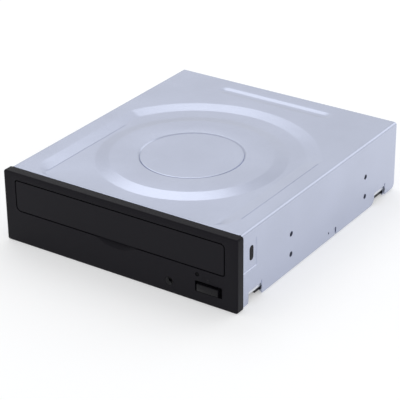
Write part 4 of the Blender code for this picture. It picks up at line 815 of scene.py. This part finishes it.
def cross(x, y, z, size=0.0011, thickness=0.00042):
    """A plus sign made as one outline, for a driver."""
    a, b = size, thickness / 2
    outline = [(a, -b), (a, b), (b, b), (b, a), (-b, a), (-b, b), (-a, b), (-a, -b), (-b, -b),
               (-b, -a), (b, -a), (b, -b)]
    return prism([(x + u, y + v) for u, v in outline], z)


tools_for = {"front_bezel": [seat, sign]}
for node, solid in frame["nodes"].items():
    if is_screw(node):
        corners = [solid.matrix_world @ Vector(c) for c in solid.bound_box]
        low = Vector([min(c[i] for c in corners) for i in range(3)])
        high = Vector([max(c[i] for c in corners) for i in range(3)])
        middle = (low + high) / 2
        head = ((low.z - 0.001, low.z + 0.0005) if node.startswith("cover")
                else (high.z - 0.0005, high.z + 0.001))
        tools_for[node] = [cross(middle.x, middle.y - drive_shift, head)]
print("cut before rounding:", len(tools_for))

# %% [markdown]
# The moulded and folded pieces inside keep the shape of their solids, but a real edge is never
# sharp: a mould leaves a radius, a punch a burr, and that line of light is what makes an edge read.
# Each of them is copied, its loose triangles are merged back into faces, and a small bevel rounds
# its edges.

# %% Copies with rounded edges
def refined(node, finish, slot_name=None, tools=(), width=0.00015, segments=2, angle=28):
    """A node's own mesh with merged faces, its cuts and rounded edges."""
    source = frame["nodes"][node].data
    shape = bmesh.new()
    shape.from_mesh(source)
    bmesh.ops.remove_doubles(shape, verts=shape.verts, dist=1e-6)
    bmesh.ops.dissolve_limit(shape, angle_limit=math.radians(0.6), verts=shape.verts,
                             edges=shape.edges)
    for face in shape.faces:
        face.material_index = 0
    piece = keep(shape, f"{node}_made", finish, smooth=angle)
    if tools:
        carve(piece, *tools, smooth=angle)
    rounding = piece.modifiers.new("rounded edges", "BEVEL")
    rounding.width = width
    rounding.segments = segments
    rounding.limit_method = "ANGLE"
    rounding.angle_limit = math.radians(angle)
    rounding.use_clamp_overlap = False
    rounding.harden_normals = True
    return stands_for(piece, node, finish=slot_name or finish.name.removesuffix("_finish"))


plain = {
    zinc_steel: ["bottom_cover", "clamp_bridge"],
    black_case: ["front_bezel"],
    black_polished: ["eject_button"],
    black_satin: ["tray_door"],
    black_frame: ["disc_tray", "loader_frame", "lift_frame", "turntable", "clamper", "lens_holder"],
    white_gear: ["pulley_gear", "drive_gear", "motor_pulley", "screw_follower"],
    grey_slider: ["cam_slider"],
    rubber: ["drive_belt", "turntable_mat"] + [n for n in frame["nodes"]
                                               if n.startswith("damper_") and "screw" not in n],
    bright_steel: ["rotor_cup", "loading_motor", "sled_motor", "guide_rod_left", "guide_rod_right",
                   "lead_screw", "clamp_yoke", "spindle_base"]
                  + [n for n in frame["nodes"] if is_screw(n)],
    copper: ["spindle_stator"],
    diecast: ["traverse_chassis", "pickup_sled"],
    chip_black: ["controller_chip", "motor_driver_chip", "memory_chip", "sata_connector",
                 "eject_switch"],
    board_green: ["main_board", "switch_board"],
    lens_glass: ["objective_lens"],
    smoked_clear: ["lamp_guide", "status_lamp"],
}
slot_of_finish = {"black_satin_finish": "black_case", "black_polished_finish": "black_case"}
for finish, nodes in plain.items():
    for node in nodes:
        refined(node, finish, slot_of_finish.get(finish.name), tools_for.get(node, ()))
done = {n for nodes in plain.values() for n in nodes} | {"top_cover"}
print("left as they are:", sorted(set(frame["nodes"]) - done))

# %% [markdown]
# The connector at the rear has a short tongue for data and a long one for power, each with flat
# gold contacts side by side. The contacts are stamped strips pressed into the plastic; here each is
# a sliver of metal standing a hair's breadth out of the tongue.

# %% Connector contacts
tongue_middle, tongue_half = 0.00823, 0.0006
tongue_top = tongue_middle + tongue_half
contact_front, contact_rear = 0.1556, 0.1597
contact_pitch, contact_width, contact_margin = 0.00127, 0.0007, 0.0011
contacts = bmesh.new()
for left, number in ((-0.0409, 7), (-0.0279, 15)):
    for step in range(number):
        x = left + contact_margin + contact_pitch * step
        block((x, x + contact_width), (contact_front, contact_rear),
              (tongue_top - 0.0001, tongue_top + 0.00005), into=contacts)
connector_contacts = keep(contacts, "connector_contacts", copper)
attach(connector_contacts, "drive")
print("contacts:", len(connector_contacts.data.polygons) // 6)
